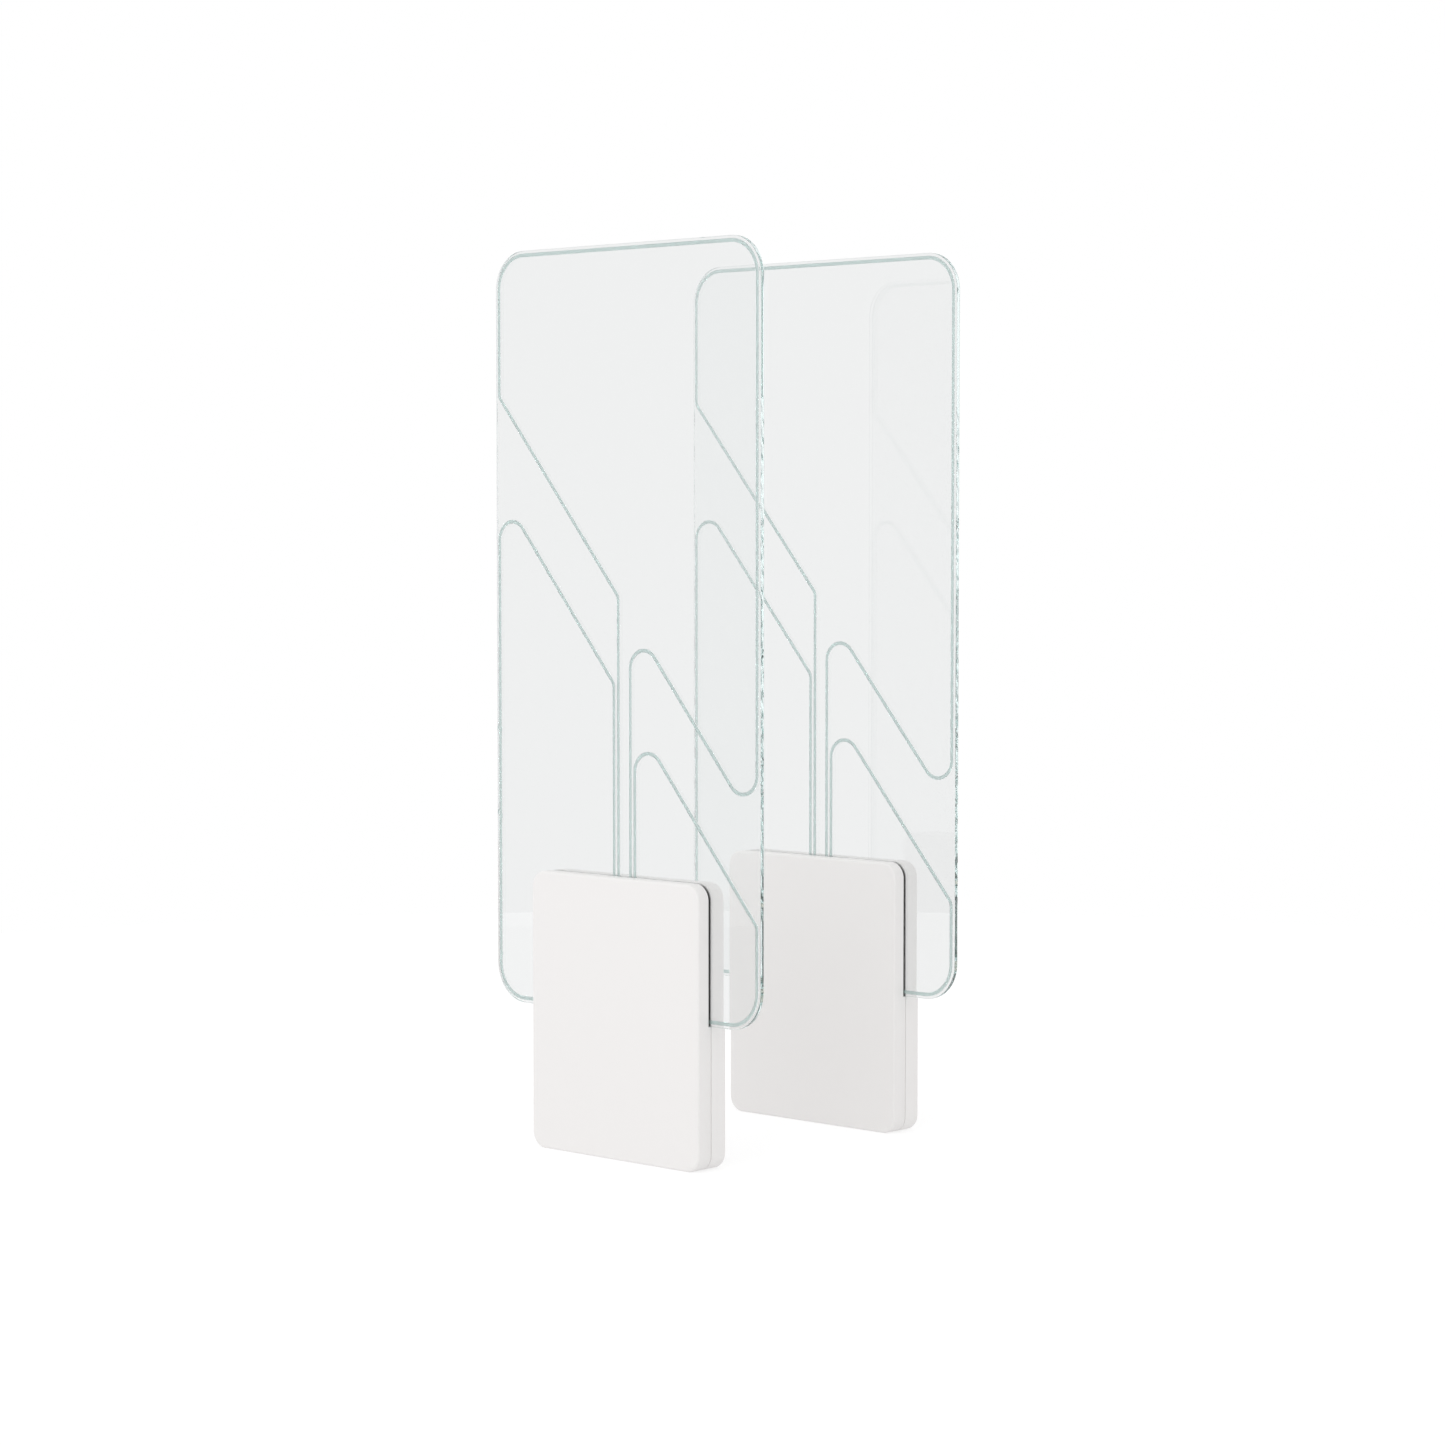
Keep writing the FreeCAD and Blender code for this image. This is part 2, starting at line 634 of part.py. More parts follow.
def trimmer_body(place):
    """One tuning trimmer's ceramic body, bored for its rotor."""
    x, z = place
    half = TRIMMER_SIDE / 2
    body = block(x - half, x + half, BOARD_FACE - TRIMMER_HEIGHT, BOARD_FACE, z - half, z + half)
    corner = 1.0
    base = 1.5
    body = softened(body, corner, FreeCAD.Vector(0, 1, 0))
    return body.cut(rod(ROTOR_R + STUD_FIT, x, z, BOARD_FACE - TRIMMER_HEIGHT, BOARD_FACE - base))


def trimmer_rotor(place):
    """One trimmer's slotted rotor, turned with a screwdriver to tune its loop."""
    x, z = place
    top = BOARD_FACE - TRIMMER_HEIGHT - 1.6
    back = BOARD_FACE - 1.8
    edge = 0.4
    slot_half = 3.0
    slot_floor = top + 1.2
    rotor = rod(ROTOR_R, x, z, top, back)
    rotor = rotor.makeFillet(edge, at_y(rotor, top))
    return rotor.cut(block(x - slot_half, x + slot_half, top, slot_floor, z - 0.5, z + 0.5))


def tamper_switch():
    """The switch that notices when the front cover is taken off, on its own bracket."""
    back = TAMPER_FACE + 12.0
    corner = 0.8
    bore_end = TAMPER_FACE + 8.0
    sheet = 1.5
    bracket_front = TAMPER_FACE + 3.0
    body = block(TAMPER_X[0], TAMPER_X[1], TAMPER_FACE, back, TAMPER_Z[0], TAMPER_Z[1])
    body = softened(body, corner, FreeCAD.Vector(0, 1, 0))
    x, z = tamper_at()
    body = body.cut(rod(PLUNGER_R + STUD_FIT, x, z, TAMPER_FACE, bore_end))
    top = TAMPER_Z[1] + sheet
    bracket = block(TAMPER_X[0], TAMPER_X[1], bracket_front, FRAME_FRONT, TAMPER_Z[1], top)
    foot = block(TAMPER_X[0], TAMPER_X[1], FRAME_FRONT - sheet, FRAME_FRONT, TAMPER_Z[0], top)
    return [body, bracket.fuse(foot).removeSplitter()]


def tamper_at():
    """The tamper plunger's axis."""
    return sum(TAMPER_X) / 2, sum(TAMPER_Z) / 2


def tamper_plunger():
    """The tamper switch's sprung plunger."""
    x, z = tamper_at()
    tip = TAMPER_FACE - PLUNGER_REACH
    back = TAMPER_FACE + 5.0
    nose = 0.6
    plunger = rod(PLUNGER_R, x, z, tip, back)
    return plunger.makeFillet(nose, at_y(plunger, tip))


def cable_grommet():
    """The rubber grommet that lines the floor plate's cable entry."""
    flange_r = GROMMET_BORE_R + GROMMET_WALL + 2.0
    top = PLATE_THICK + 2.5
    sleeve = post(GROMMET_BORE_R + GROMMET_WALL, 0.0, GROMMET_Y, 0.0, PLATE_THICK)
    flange = post(flange_r, 0.0, GROMMET_Y, PLATE_THICK, top)
    bore = post(GROMMET_BORE_R, 0.0, GROMMET_Y, 0.0, top)
    return sleeve.fuse(flange).cut(bore).removeSplitter()


# ---- pieces that only the primary pedestal holds -----------------------------------------
def power_supply():
    """The enclosed power supply, with the pocket that its switch sits in and a row of vents."""
    corner = 2.0
    vents = 8
    vent_pitch = 7.0
    vent_width = 2.5
    vent_depth = 1.2
    vent_inset = 14.0
    lowest = SUPPLY_Z[0] + 12.0
    case = block(SUPPLY_X[0], SUPPLY_X[1], SUPPLY_FRONT, FRAME_FRONT, SUPPLY_Z[0], SUPPLY_Z[1])
    case = softened(case, corner, FreeCAD.Vector(0, 0, 1)).cut(switch_block())
    for k in range(vents):
        low = lowest + vent_pitch * k
        case = case.cut(block(SUPPLY_X[0] + vent_inset, SUPPLY_X[1] - vent_inset,
                              SUPPLY_FRONT, SUPPLY_FRONT + vent_depth, low, low + vent_width))
    return case


def switch_block():
    """The room that the switch's housing takes up in the supply."""
    x, z = ROCKER_AT
    half_x = SWITCH_SIZE[0] / 2
    half_z = SWITCH_SIZE[1] / 2
    return block(x - half_x, x + half_x, SUPPLY_FRONT, SUPPLY_FRONT + SWITCH_DEPTH, z - half_z, z + half_z)


def power_switch():
    """The switch's housing, which the rocker tilts in."""
    x, z = ROCKER_AT
    lip = 2.0          # how far the bezel stands out around the housing
    half_x = SWITCH_SIZE[0] / 2
    half_z = SWITCH_SIZE[1] / 2
    wall = 2.5
    bezel_front = SUPPLY_FRONT - 1.5
    well_floor = SUPPLY_FRONT + 12.0
    bezel = block(x - half_x - lip, x + half_x + lip, bezel_front, SUPPLY_FRONT,
                  z - half_z - lip, z + half_z + lip)
    housing = switch_block().fuse(softened(bezel, lip, FreeCAD.Vector(0, 1, 0)))
    well = block(x - half_x + wall, x + half_x - wall, bezel_front, well_floor,
                 z - half_z + wall, z + half_z - wall)
    return housing.cut(well).removeSplitter()


def power_rocker():
    """The rocker, a shallow V about its pivot, at rest with its upper end pressed in."""
    x, z = ROCKER_AT
    half_x = 8.1
    reach = 11.6       # half the rocker's height
    rim = SUPPLY_FRONT - 4.6
    waist = SUPPLY_FRONT - 2.6
    shoulder = SUPPLY_FRONT - 0.6
    keel = SUPPLY_FRONT + 3.0
    keel_half = 4.0
    profile = [(rim, -reach), (waist, 0.0), (rim, reach), (shoulder, reach),
               (keel, keel_half), (keel, -keel_half), (shoulder, -reach)]
    corners = [FreeCAD.Vector(x - half_x, y, z + dz) for y, dz in profile + profile[:1]]
    rocker = Part.Face(Part.makePolygon(corners)).extrude(FreeCAD.Vector(2 * half_x, 0, 0))
    rocker.rotate(FreeCAD.Vector(x, SUPPLY_FRONT + 1.0, z), FreeCAD.Vector(1, 0, 0), -ROCKER_TILT)
    return rocker


def sounder():
    """The alarm sounder: a round case with one port."""
    x, z = SOUNDER_AT
    top = BOARD_FACE - 13.0
    radius = 15.0
    edge = 1.2
    port_r = 2.0
    port_depth = 3.0
    case = rod(radius, x, z, top, BOARD_FACE)
    case = case.makeFillet(edge, at_y(case, top))
    return case.cut(rod(port_r, x, z, top, top + port_depth))


def volume_control():
    """The sounder's level control, bored for its knob."""
    x, z = VOLUME_AT
    half = VOLUME_BODY
    top = BOARD_FACE - VOLUME_BODY
    corner = 1.0
    base = 1.5
    body = block(x - half, x + half, top, BOARD_FACE, z - half, z + half)
    body = softened(body, corner, FreeCAD.Vector(0, 1, 0))
    return body.cut(rod(VOLUME_SHAFT_R + STUD_FIT, x, z, top, BOARD_FACE - base))


def volume_knob():
    """The level control's knob, fluted, with a pointer slot."""
    x, z = VOLUME_AT
    face = BOARD_FACE - 13.0
    back = BOARD_FACE - VOLUME_BODY - 0.5
    shaft_end = BOARD_FACE - 1.8
    radius = 5.0
    flutes = 12
    flute_r = 0.6
    flute_at = 5.2     # the flutes' centres from the knob's axis
    pointer = 4.2
    knob = rod(radius, x, z, face, back)
    for k in range(flutes):
        angle = 2 * math.pi * k / flutes
        flute_x = x + flute_at * math.cos(angle)
        flute_z = z + flute_at * math.sin(angle)
        knob = knob.cut(rod(flute_r, flute_x, flute_z, face, back))
    knob = knob.fuse(rod(VOLUME_SHAFT_R, x, z, back, shaft_end)).removeSplitter()
    return knob.cut(block(x - 0.5, x + 0.5, face, face + 0.8, z, z + pointer))


def supply_leads():
    """The two leads that carry the supply's output to the board."""
    plane = LEAD_PLANE - 2.0
    first = 170.0      # the upper lead's height at the supply
    spacing = 6.0
    climb = 6.0
    bend_r = 8.0
    leads = []
    for k in range(2):
        z0 = first - spacing * k
        z1 = z0 + climb
        points = [(SUPPLY_X[1], z0), (SUPPLY_X[1] + 7.0, z0), (BOARD_X[0] + 3.0, z1), (SUPPLY_TERMINAL_X, z1)]
        path = rounded_path(points, [bend_r, bend_r], plane)
        ring = Part.makeCircle(LEAD_R, FreeCAD.Vector(SUPPLY_X[1], plane, z0), FreeCAD.Vector(1, 0, 0))
        leads.append(path.makePipeShell([Part.Wire(ring)], True, False))
    return leads


def supply_terminal():
    """The terminal block on the board that the supply's leads end in."""
    width = 12.0
    edge = 0.8
    terminal = block(SUPPLY_TERMINAL_X, SUPPLY_TERMINAL_X + width, BOARD_FACE - 12.0, BOARD_FACE, 164.0, 182.0)
    return softened(terminal, edge, FreeCAD.Vector(0, 0, 1))


# ---- assembly ------------------------------------------------------------------------
def one_of_each():
    """Pieces that every pedestal has as its own nodes, by name."""
    pieces = {
        "glass_panel": panel(),
        "upper_loop": aerial_loop(True),
        "lower_loop": aerial_loop(False),
        "front_cover": front_cover(),
        "rear_cover": rear_cover(),
        "cover_gasket": cover_gasket(),
        "floor_plate": floor_plate(),
        "upright_frame": upright_frame(),
        "clamp_plates": clamp_plates(),
        "circuit_board": circuit_board(),
        "board_chips": board_chips(),
        "trimmer_bodies": [trimmer_body(place) for place in TRIMMERS.values()],
        "aerial_leads": aerial_leads(),
        "tamper_switch": tamper_switch(),
        "tamper_plunger": tamper_plunger(),
    }
    for name, place in TRIMMERS.items():
        pieces[name + "_trimmer"] = trimmer_rotor(place)
    return pieces


def shared_groups():
    """Small pieces that are alike on both pedestals and share one node, by name."""
    return {
        "clamp_bolts": clamp_bolts(),
        "clamp_nuts": clamp_nuts(),
        "glass_bushes": glass_bushes(),
        "front_pads": pads(CLAMP_BACK, PANEL_FRONT),
        "rear_pads": pads(PANEL_BACK, FRAME_FRONT),
        "setting_blocks": setting_blocks(),
        "cover_studs": cover_studs(),
        "rear_cover_screws": rear_cover_screws(),
        "board_standoffs": board_standoffs(),
        "board_screws": board_screws(),
        "board_capacitors": board_capacitors(),
        "shield_cans": [shield_can()],
        "wire_terminals": [wire_terminals()],
        "loop_terminals": [loop_terminal()],
        "cable_grommets": [cable_grommet()],
    }


def primary_only():
    """Pieces that only the primary pedestal holds, by name."""
    return {
        "power_supply": power_supply(),
        "power_switch": power_switch(),
        "power_rocker": power_rocker(),
        "sounder": sounder(),
        "volume_control": volume_control(),
        "volume_knob": volume_knob(),
        "supply_leads": supply_leads(),
        "supply_terminal": supply_terminal(),
    }


def moved(shape, y):
    """A copy of a shape, or of each shape in a list, moved along Y."""
    if isinstance(shape, list):
        return [moved(s, y) for s in shape]
    copy = shape.copy()
    copy.translate(FreeCAD.Vector(0, y, 0))
    return copy


def write(name, shape):
    """Write one node's solids and say what they hold."""
    solids = shape if isinstance(shape, list) else [shape]
    solids = [solid for item in solids for solid in item.Solids]
    body = solids[0] if len(solids) == 1 else Part.makeCompound(solids)
    body.exportStep("parts/" + name + ".step")
    print("%-28s solids %2d volume %.3e valid %s" % (name, len(solids), body.Volume, body.isValid()))


def main():
    """Build both pedestals and write every node."""
    os.makedirs("parts", exist_ok=True)
    sides = {"primary": -PITCH / 2, "secondary": PITCH / 2}
    for name, shape in one_of_each().items():
        for side, y in sides.items():
            write(side + "_" + name, moved(shape, y))
    for name, shapes in shared_groups().items():
        write(name, [copy for y in sides.values() for copy in moved(shapes, y)])
    for name, shape in primary_only().items():
        write(name, moved(shape, sides["primary"]))


main()
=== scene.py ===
import logging
import math
from dataclasses import dataclass, field
from enum import Enum
from typing import Callable, Iterable, Sequence

import bmesh
import bpy
from mathutils import Matrix, Vector


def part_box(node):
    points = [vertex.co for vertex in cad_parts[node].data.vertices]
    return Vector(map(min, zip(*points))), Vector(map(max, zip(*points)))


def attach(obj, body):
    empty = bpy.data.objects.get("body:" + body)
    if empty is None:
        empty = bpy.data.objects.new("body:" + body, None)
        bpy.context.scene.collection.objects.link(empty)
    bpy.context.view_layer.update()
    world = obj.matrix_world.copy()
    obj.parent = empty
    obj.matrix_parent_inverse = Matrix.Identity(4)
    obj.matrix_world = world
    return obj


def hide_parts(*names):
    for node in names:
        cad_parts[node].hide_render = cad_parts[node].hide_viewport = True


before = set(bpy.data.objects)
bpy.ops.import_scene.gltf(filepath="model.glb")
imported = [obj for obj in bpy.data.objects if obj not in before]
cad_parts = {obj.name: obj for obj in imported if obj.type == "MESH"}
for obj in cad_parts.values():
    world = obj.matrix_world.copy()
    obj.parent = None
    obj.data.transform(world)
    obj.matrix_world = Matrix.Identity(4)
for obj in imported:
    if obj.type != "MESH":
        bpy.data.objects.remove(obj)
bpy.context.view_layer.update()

logging.basicConfig(level=logging.INFO, format="%(message)s")
LOG = logging.getLogger("security_gate")

MM = 0.001
# The middle flat of an edge that is rounded in three flats starts at this share of its radius.
FLAT = 0.3
# Points closer than this are one point.
MERGE = 1e-7
# Nearly all of a noise lies between these values.
NOISE_LOW, NOISE_HIGH = 0.3, 0.7
Point = tuple[float, float]
Mesh, Node = bpy.types.Mesh, bpy.types.Node
Socket, Tree = bpy.types.NodeSocket, bpy.types.NodeTree


class Side(Enum):
    """Which of the two pedestals a piece belongs to."""

    PRIMARY = "primary"
    SECONDARY = "secondary"

    def node(self, name: str) -> str:
        """The CAD node of that name on this pedestal."""
        return f"{self.value}_{name}"

    @property
    def centre(self) -> float:
        """The centre plane of this pedestal's foot, across the walkway."""
        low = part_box(self.node("front_cover"))[0].y
        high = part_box(self.node("rear_cover"))[1].y
        return (low + high) / 2


# ---- colour and node helpers
def linear(colour: str) -> tuple[float, float, float, float]:
    """Turn an sRGB hex colour into linear values.

    Args:
        colour: six hex digits after a hash sign.

    Returns:
        Linear red, green and blue, and an alpha of 1.
    """
    channels = [int(colour[k:k + 2], 16) / 255 for k in (1, 3, 5)]
    bright = [c / 12.92 if c <= 0.04045 else ((c + 0.055) / 1.055) ** 2.4 for c in channels]
    return (bright[0], bright[1], bright[2], 1.0)


def add_node(tree: Tree, kind: str, inputs: dict | None = None, **settings: object) -> Node:
    """Add one node with its settings and its inputs' values or links.

    Args:
        tree: the node tree that the node goes into.
        kind: the node's type name.
        inputs: for each input, by name or number, a value, an output socket to link from, or a node whose
            first output is meant.
        settings: attributes set on the node itself.

    Returns:
        The new node.
    """
    node = tree.nodes.new(kind)
    for key, value in settings.items():
        setattr(node, key, value)
    for key, value in (inputs or {}).items():
        if isinstance(value, (Node, Socket)):
            tree.links.new(value.outputs[0] if isinstance(value, Node) else value, node.inputs[key])
        else:
            node.inputs[key].default_value = value
    return node


def new_material(name: str) -> tuple[bpy.types.Material, Tree]:
    """A new material and its empty node tree."""
    made = bpy.data.materials.new(name)
    made.use_nodes = True
    made.node_tree.nodes.clear()
    return made, made.node_tree


# ---- finishes
@dataclass
class Surface:
    """A material being made: its node tree, its shader and its output."""

    tree: Tree
    shader: Node
    output: Node

    def grain(self, size: float, octaves: float = 2.0) -> Node:
        """A noise whose blobs are about one size across, in metres, with finer octaves on it."""
        place = add_node(self.tree, "ShaderNodeTexCoord")
        return add_node(self.tree, "ShaderNodeTexNoise", {
            "Vector": place.outputs["Object"], "Scale": 1 / size, "Detail": octaves}, noise_dimensions="3D")

    def relief(self, height: Node | Socket, depth: float, strength: float = 1.0) -> None:
        """Raise the surface by a pattern.

        Args:
            height: the pattern, from 0 to 1.
            depth: the height of 1, in metres.
            strength: how much of it shows.
        """
        bump = add_node(self.tree, "ShaderNodeBump", {
            "Height": height, "Distance": depth, "Strength": strength})
        self.tree.links.new(bump.outputs[0], self.shader.inputs["Normal"])

    def gloss(self, pattern: Node, roughness: float, swing: Point) -> None:
        """Let a pattern move the roughness a little below and above its average."""
        spread = add_node(self.tree, "ShaderNodeMapRange", {
            "Value": pattern, "From Min": NOISE_LOW, "From Max": NOISE_HIGH,
            "To Min": roughness - swing[0], "To Max": roughness + swing[1]})
        self.tree.links.new(spread.outputs[0], self.shader.inputs["Roughness"])

    def two_tone(self, pattern: Node, first: str, second: str) -> None:
        """Mix two colours by a pattern."""
        mix = add_node(self.tree, "ShaderNodeMix", {
            0: pattern, 6: linear(first), 7: linear(second)}, data_type="RGBA")
        self.tree.links.new(mix.outputs[2], self.shader.inputs["Base Color"])


@dataclass(frozen=True)
class Finish:
    """A surface as its maker would order it: one even colour and gloss.

    Subclasses add what their surface shows in detail().
    """

    name: str
    colour: str
    roughness: float
    metallic: float = 0.0
    ior: float = 1.5
    swing: Point = (0.05, 0.05)

    def material(self) -> bpy.types.Material:
        """The Blender material of this finish, made once."""
        found = bpy.data.materials.get(self.name)
        if found:
            return found
        made, tree = new_material(self.name)
        shader = add_node(tree, "ShaderNodeBsdfPrincipled", {
            "Base Color": linear(self.colour), "Roughness": self.roughness,
            "Metallic": self.metallic, "IOR": self.ior})
        output = add_node(tree, "ShaderNodeOutputMaterial", {"Surface": shader})
        self.detail(Surface(tree, shader, output))
        return made

    def detail(self, surface: Surface) -> None:
        """Add what this surface shows beyond its even colour."""


@dataclass(frozen=True)
class MouldedShell(Finish):
    """ABS moulded in a spark-eroded tool: an even satin with a very fine pebble.

    The real pebble is about 0.15 mm across. It is drawn at 0.6 mm so that it shows at all.
    """

    pebble: float = 0.6 * MM
    depth: float = 0.012 * MM
    softness: float = 0.6
    drift: float = 90 * MM

    def detail(self, surface: Surface) -> None:
        """Pebble in the relief, and slow drifts of gloss as from handling and wiping."""
        surface.relief(surface.grain(self.pebble, 1.0), self.depth, self.softness)
        surface.gloss(surface.grain(self.drift, 3.0), self.roughness, self.swing)


@dataclass(frozen=True)
class ToughenedGlass(Finish):
    """Clear toughened float glass: colourless through its face and faintly green along its edges."""

    absorb: str = "#00BEB8"
    absorb_per_metre: float = 0.25

    def detail(self, surface: Surface) -> None:
        """Full transmission, with the iron's green taken up along the light's way inside."""
        surface.shader.inputs["Transmission Weight"].default_value = 1.0
        inside = add_node(surface.tree, "ShaderNodeVolumeAbsorption", {
            "Color": linear(self.absorb), "Density": self.absorb_per_metre})
        surface.tree.links.new(inside.outputs[0], surface.output.inputs["Volume"])


@dataclass(frozen=True)
class ClearJacket(Finish):
    """Translucent PVC jacket over a fine wire: milky, with a soft gloss."""

    swing: Point = (0.06, 0.06)
    passes: float = 0.8
    cloud: float = 12 * MM

    def detail(self, surface: Surface) -> None:
        """A little light passes through it, unevenly along its length."""
        surface.shader.inputs["Transmission Weight"].default_value = self.passes
        surface.gloss(surface.grain(self.cloud), self.roughness, self.swing)


@dataclass(frozen=True)
class MattRubber(Finish):
    """Extruded or cut rubber: matt, with a dusty bloom in patches."""

    bloom: str = "#3A3937"
    patch: float = 7 * MM
    drag: float = 0.5 * MM
    depth: float = 0.03 * MM

    def detail(self, surface: Surface) -> None:
        """Patches of bloom, and the faint drag of the extrusion die."""
        surface.two_tone(surface.grain(self.patch, 4.0), self.colour, self.bloom)
        surface.relief(surface.grain(self.drag), self.depth)


@dataclass(frozen=True)
class PowderCoat(Finish):
    """Polyester powder coat on steel: orange-peel of about 1.5 mm, satin."""

    swing: Point = (0.08, 0.08)
    peel: float = 1.5 * MM
    depth: float = 0.04 * MM
    softness: float = 0.7
    cloud: float = 25 * MM

    def detail(self, surface: Surface) -> None:
        """Orange peel in the relief and a slight cloudiness of gloss."""
        surface.relief(surface.grain(self.peel, 1.0), self.depth, self.softness)
        surface.gloss(surface.grain(self.cloud), self.roughness, self.swing)


@dataclass(frozen=True)
class PlatedMetal(Finish):
    """Turned or pressed metal, bare or plated: fine tool lines and a patchy shine."""

    swing: Point = (0.07, 0.1)
    tint: str = "#FFFFFF"
    line: float = 0.3 * MM
    depth: float = 0.006 * MM
    patch: float = 4 * MM

    def detail(self, surface: Surface) -> None:
        """Tool lines in the relief, a second tint in patches, and a change of gloss with them."""
        patch = surface.grain(self.patch, 3.0)
        surface.two_tone(patch, self.colour, self.tint)
        surface.gloss(patch, self.roughness, self.swing)
        surface.relief(surface.grain(self.line, 1.0), self.depth)


@dataclass(frozen=True)
class MouldedPart(Finish):
    """A small moulded or fired part: fine skin texture and an even tone."""

    swing: Point = (0.04, 0.04)
    skin: float = 0.8 * MM
    depth: float = 0.015 * MM

    def detail(self, surface: Surface) -> None:
        """Skin texture in the relief, and a drift of gloss."""
        skin = surface.grain(self.skin)
        surface.relief(skin, self.depth)
        surface.gloss(skin, self.roughness, self.swing)


@dataclass(frozen=True)
class SolderMask(Finish):
    """Epoxy board under green solder mask: copper runs show as a lighter green."""

    copper: str = "#2F7A3E"
    pitch: float = 2.54 * MM
    run: float = 7.0
    gap: float = 0.12
    depth: float = 0.04 * MM

    def detail(self, surface: Surface) -> None:
        """Runs of track on the board maker's grid, broken up so that no two rows match."""
        tree = surface.tree
        place = add_node(tree, "ShaderNodeTexCoord")
        turned = add_node(tree, "ShaderNodeMapping", {
            "Vector": place.outputs["Object"], "Rotation": (math.radians(90), 0, 0)})
        tracks = add_node(tree, "ShaderNodeTexBrick", {
            "Vector": turned, "Scale": 1 / self.pitch, "Mortar Size": self.gap,
            "Mortar Smooth": 0.1, "Brick Width": self.run, "Row Height": 1.0,
            "Color1": linear(self.colour), "Color2": linear(self.colour), "Mortar": linear(self.copper)},
            offset=0.37, squash=0.6, squash_frequency=3)
        tree.links.new(tracks.outputs["Color"], surface.shader.inputs["Base Color"])
        surface.relief(tracks.outputs["Fac"], self.depth)


class Palette:
    """Every finish of the gate. Each comment says what the material gives the eye."""

    # Warm off-white and evenly satin: one plain block.
    SHELL = MouldedShell("ABS_moulded_warm_white", "#E8E6E5", 0.42)
    # Colourless from the front, green along its edges.
    GLASS = ToughenedGlass("Toughened_glass_clear", "#F7F8F8", 0.0, ior=1.52)
    # Milky grey-green lines, a little darker than the glass.
    JACKET = ClearJacket("PVC_jacket_clear_grey_green", "#D3E0DE", 0.35)
    # A black that takes no highlight.
    RUBBER = MattRubber("EPDM_rubber_black", "#1B1A19", 0.75)
    # Pale and soft, hardly seen against the glass.
    SILICONE = MattRubber("Silicone_rubber_grey", "#C9CBC9", 0.55, bloom="#D6D7D4")
    # Slate grey with a rippled satin.
    COATED = PowderCoat("Powder_coat_slate_grey", "#5C6063", 0.48)
    # Bright and faintly blue, with sharp highlights.
    ZINC = PlatedMetal("Zinc_plated_steel_bright", "#C9CAC8", 0.3, 1.0, tint="#B9BFC6")
    # Creamy and waxy.
    NYLON = MouldedPart("Nylon_moulded_natural", "#E6E2D6", 0.5)
    # Dark green with lighter tracks and a varnish gloss.
    BOARD = SolderMask("Epoxy_board_green_mask", "#12552A", 0.35)
    # Near-black with a dull sheen, as on chip packages and switches.
    BLACK = MouldedPart("Epoxy_moulding_black", "#1C1D1F", 0.45)
    # Chalky cream.
    CERAMIC = MouldedPart("Steatite_ceramic_fired", "#E9E2D2", 0.55)
    # Yellow metal with fine turning lines.
    BRASS = PlatedMetal("Brass_turned", "#D9B36A", 0.28, 1.0, tint="#C79B50")
    # Silvery, softer and whiter than zinc.
    TIN = PlatedMetal("Tinplate_pressed", "#D0D0CE", 0.33, 1.0, tint="#C3C6C9")
    # Mid green with a soft gloss.
    TERMINAL = MouldedPart("Polyamide_moulded_green", "#2C8A47", 0.45)
    # Smooth black with a long highlight.
    SLEEVE = MouldedPart("PVC_sleeve_black", "#222325", 0.38)
    # A slick signal red.
    RED = MouldedPart("Acetal_moulded_red", "#B3241C", 0.35)
    # An even matt silver with a fine sparkle.
    CASE = PlatedMetal("Aluminium_bead_blasted", "#C4C5C7", 0.45, 1.0, tint="#B8BABD", line=0.5 * MM)


# ---- mesh helpers
def arc_points(centre: Point, radius: float, start: float, end: float, steps: int) -> list[Point]:
    """Points along an arc, its two ends among them, with angles in degrees."""
    turn = (end - start) / steps
    angles = [math.radians(start + turn * k) for k in range(steps + 1)]
    return [(centre[0] + radius * math.cos(a), centre[1] + radius * math.sin(a)) for a in angles]


def circle_points(radius: float, steps: int) -> list[Point]:
    """Points round a circle about the origin."""
    return arc_points((0.0, 0.0), radius, 0, 360 - 360 / steps, steps - 1)


def mirrored(places: Iterable[Point]) -> list[Point]:
    """The (x, z) places on both sides of the middle, the left one of each pair first."""
    return [(side * x, z) for x, z in places for side in (-1, 1)]


def rounded_outline(half_width: float, low: float, high: float, corner: float, steps: int) -> list[Point]:
    """A rounded rectangle's (x, z) points, counter-clockwise as seen from the front."""
    x, points = half_width - corner, []
    for cx, cz, start in ((x, high - corner, 0), (-x, high - corner, 90),
                          (-x, low + corner, 180), (x, low + corner, 270)):
        points += arc_points((cx, cz), corner, start, start + 90, steps)
    return points


def linked(name: str, data: bpy.types.ID) -> bpy.types.Object:
    """Link a mesh or a camera into the scene as an object."""
    made = bpy.data.objects.new(name, data)
    bpy.context.scene.collection.objects.link(made)
    return made


def evaluated(holder: bpy.types.Object) -> Mesh:
    """The plain mesh that an object's modifiers give."""
    graph = bpy.context.evaluated_depsgraph_get()
    graph.update()
    return bpy.data.meshes.new_from_object(holder.evaluated_get(graph))


def weld(shape: bmesh.types.BMesh) -> None:
    """Merge doubled points and turn the faces outwards."""
    bmesh.ops.remove_doubles(shape, verts=shape.verts, dist=MERGE)
    bmesh.ops.recalc_face_normals(shape, faces=shape.faces)


def finished(shape: bmesh.types.BMesh, name: str) -> Mesh:
    """Turn a worked shape into a mesh. The shape is used up."""
    mesh = bpy.data.meshes.new(name)
    shape.to_mesh(mesh)
    shape.free()
    return mesh


def new_piece(name: str, mesh: Mesh, finish: Finish) -> bpy.types.Object:
    """Link a mesh into the scene as an object with one finish."""
    piece = linked(name, mesh)
    mesh.materials.clear()
    mesh.materials.append(finish.material())
    return piece


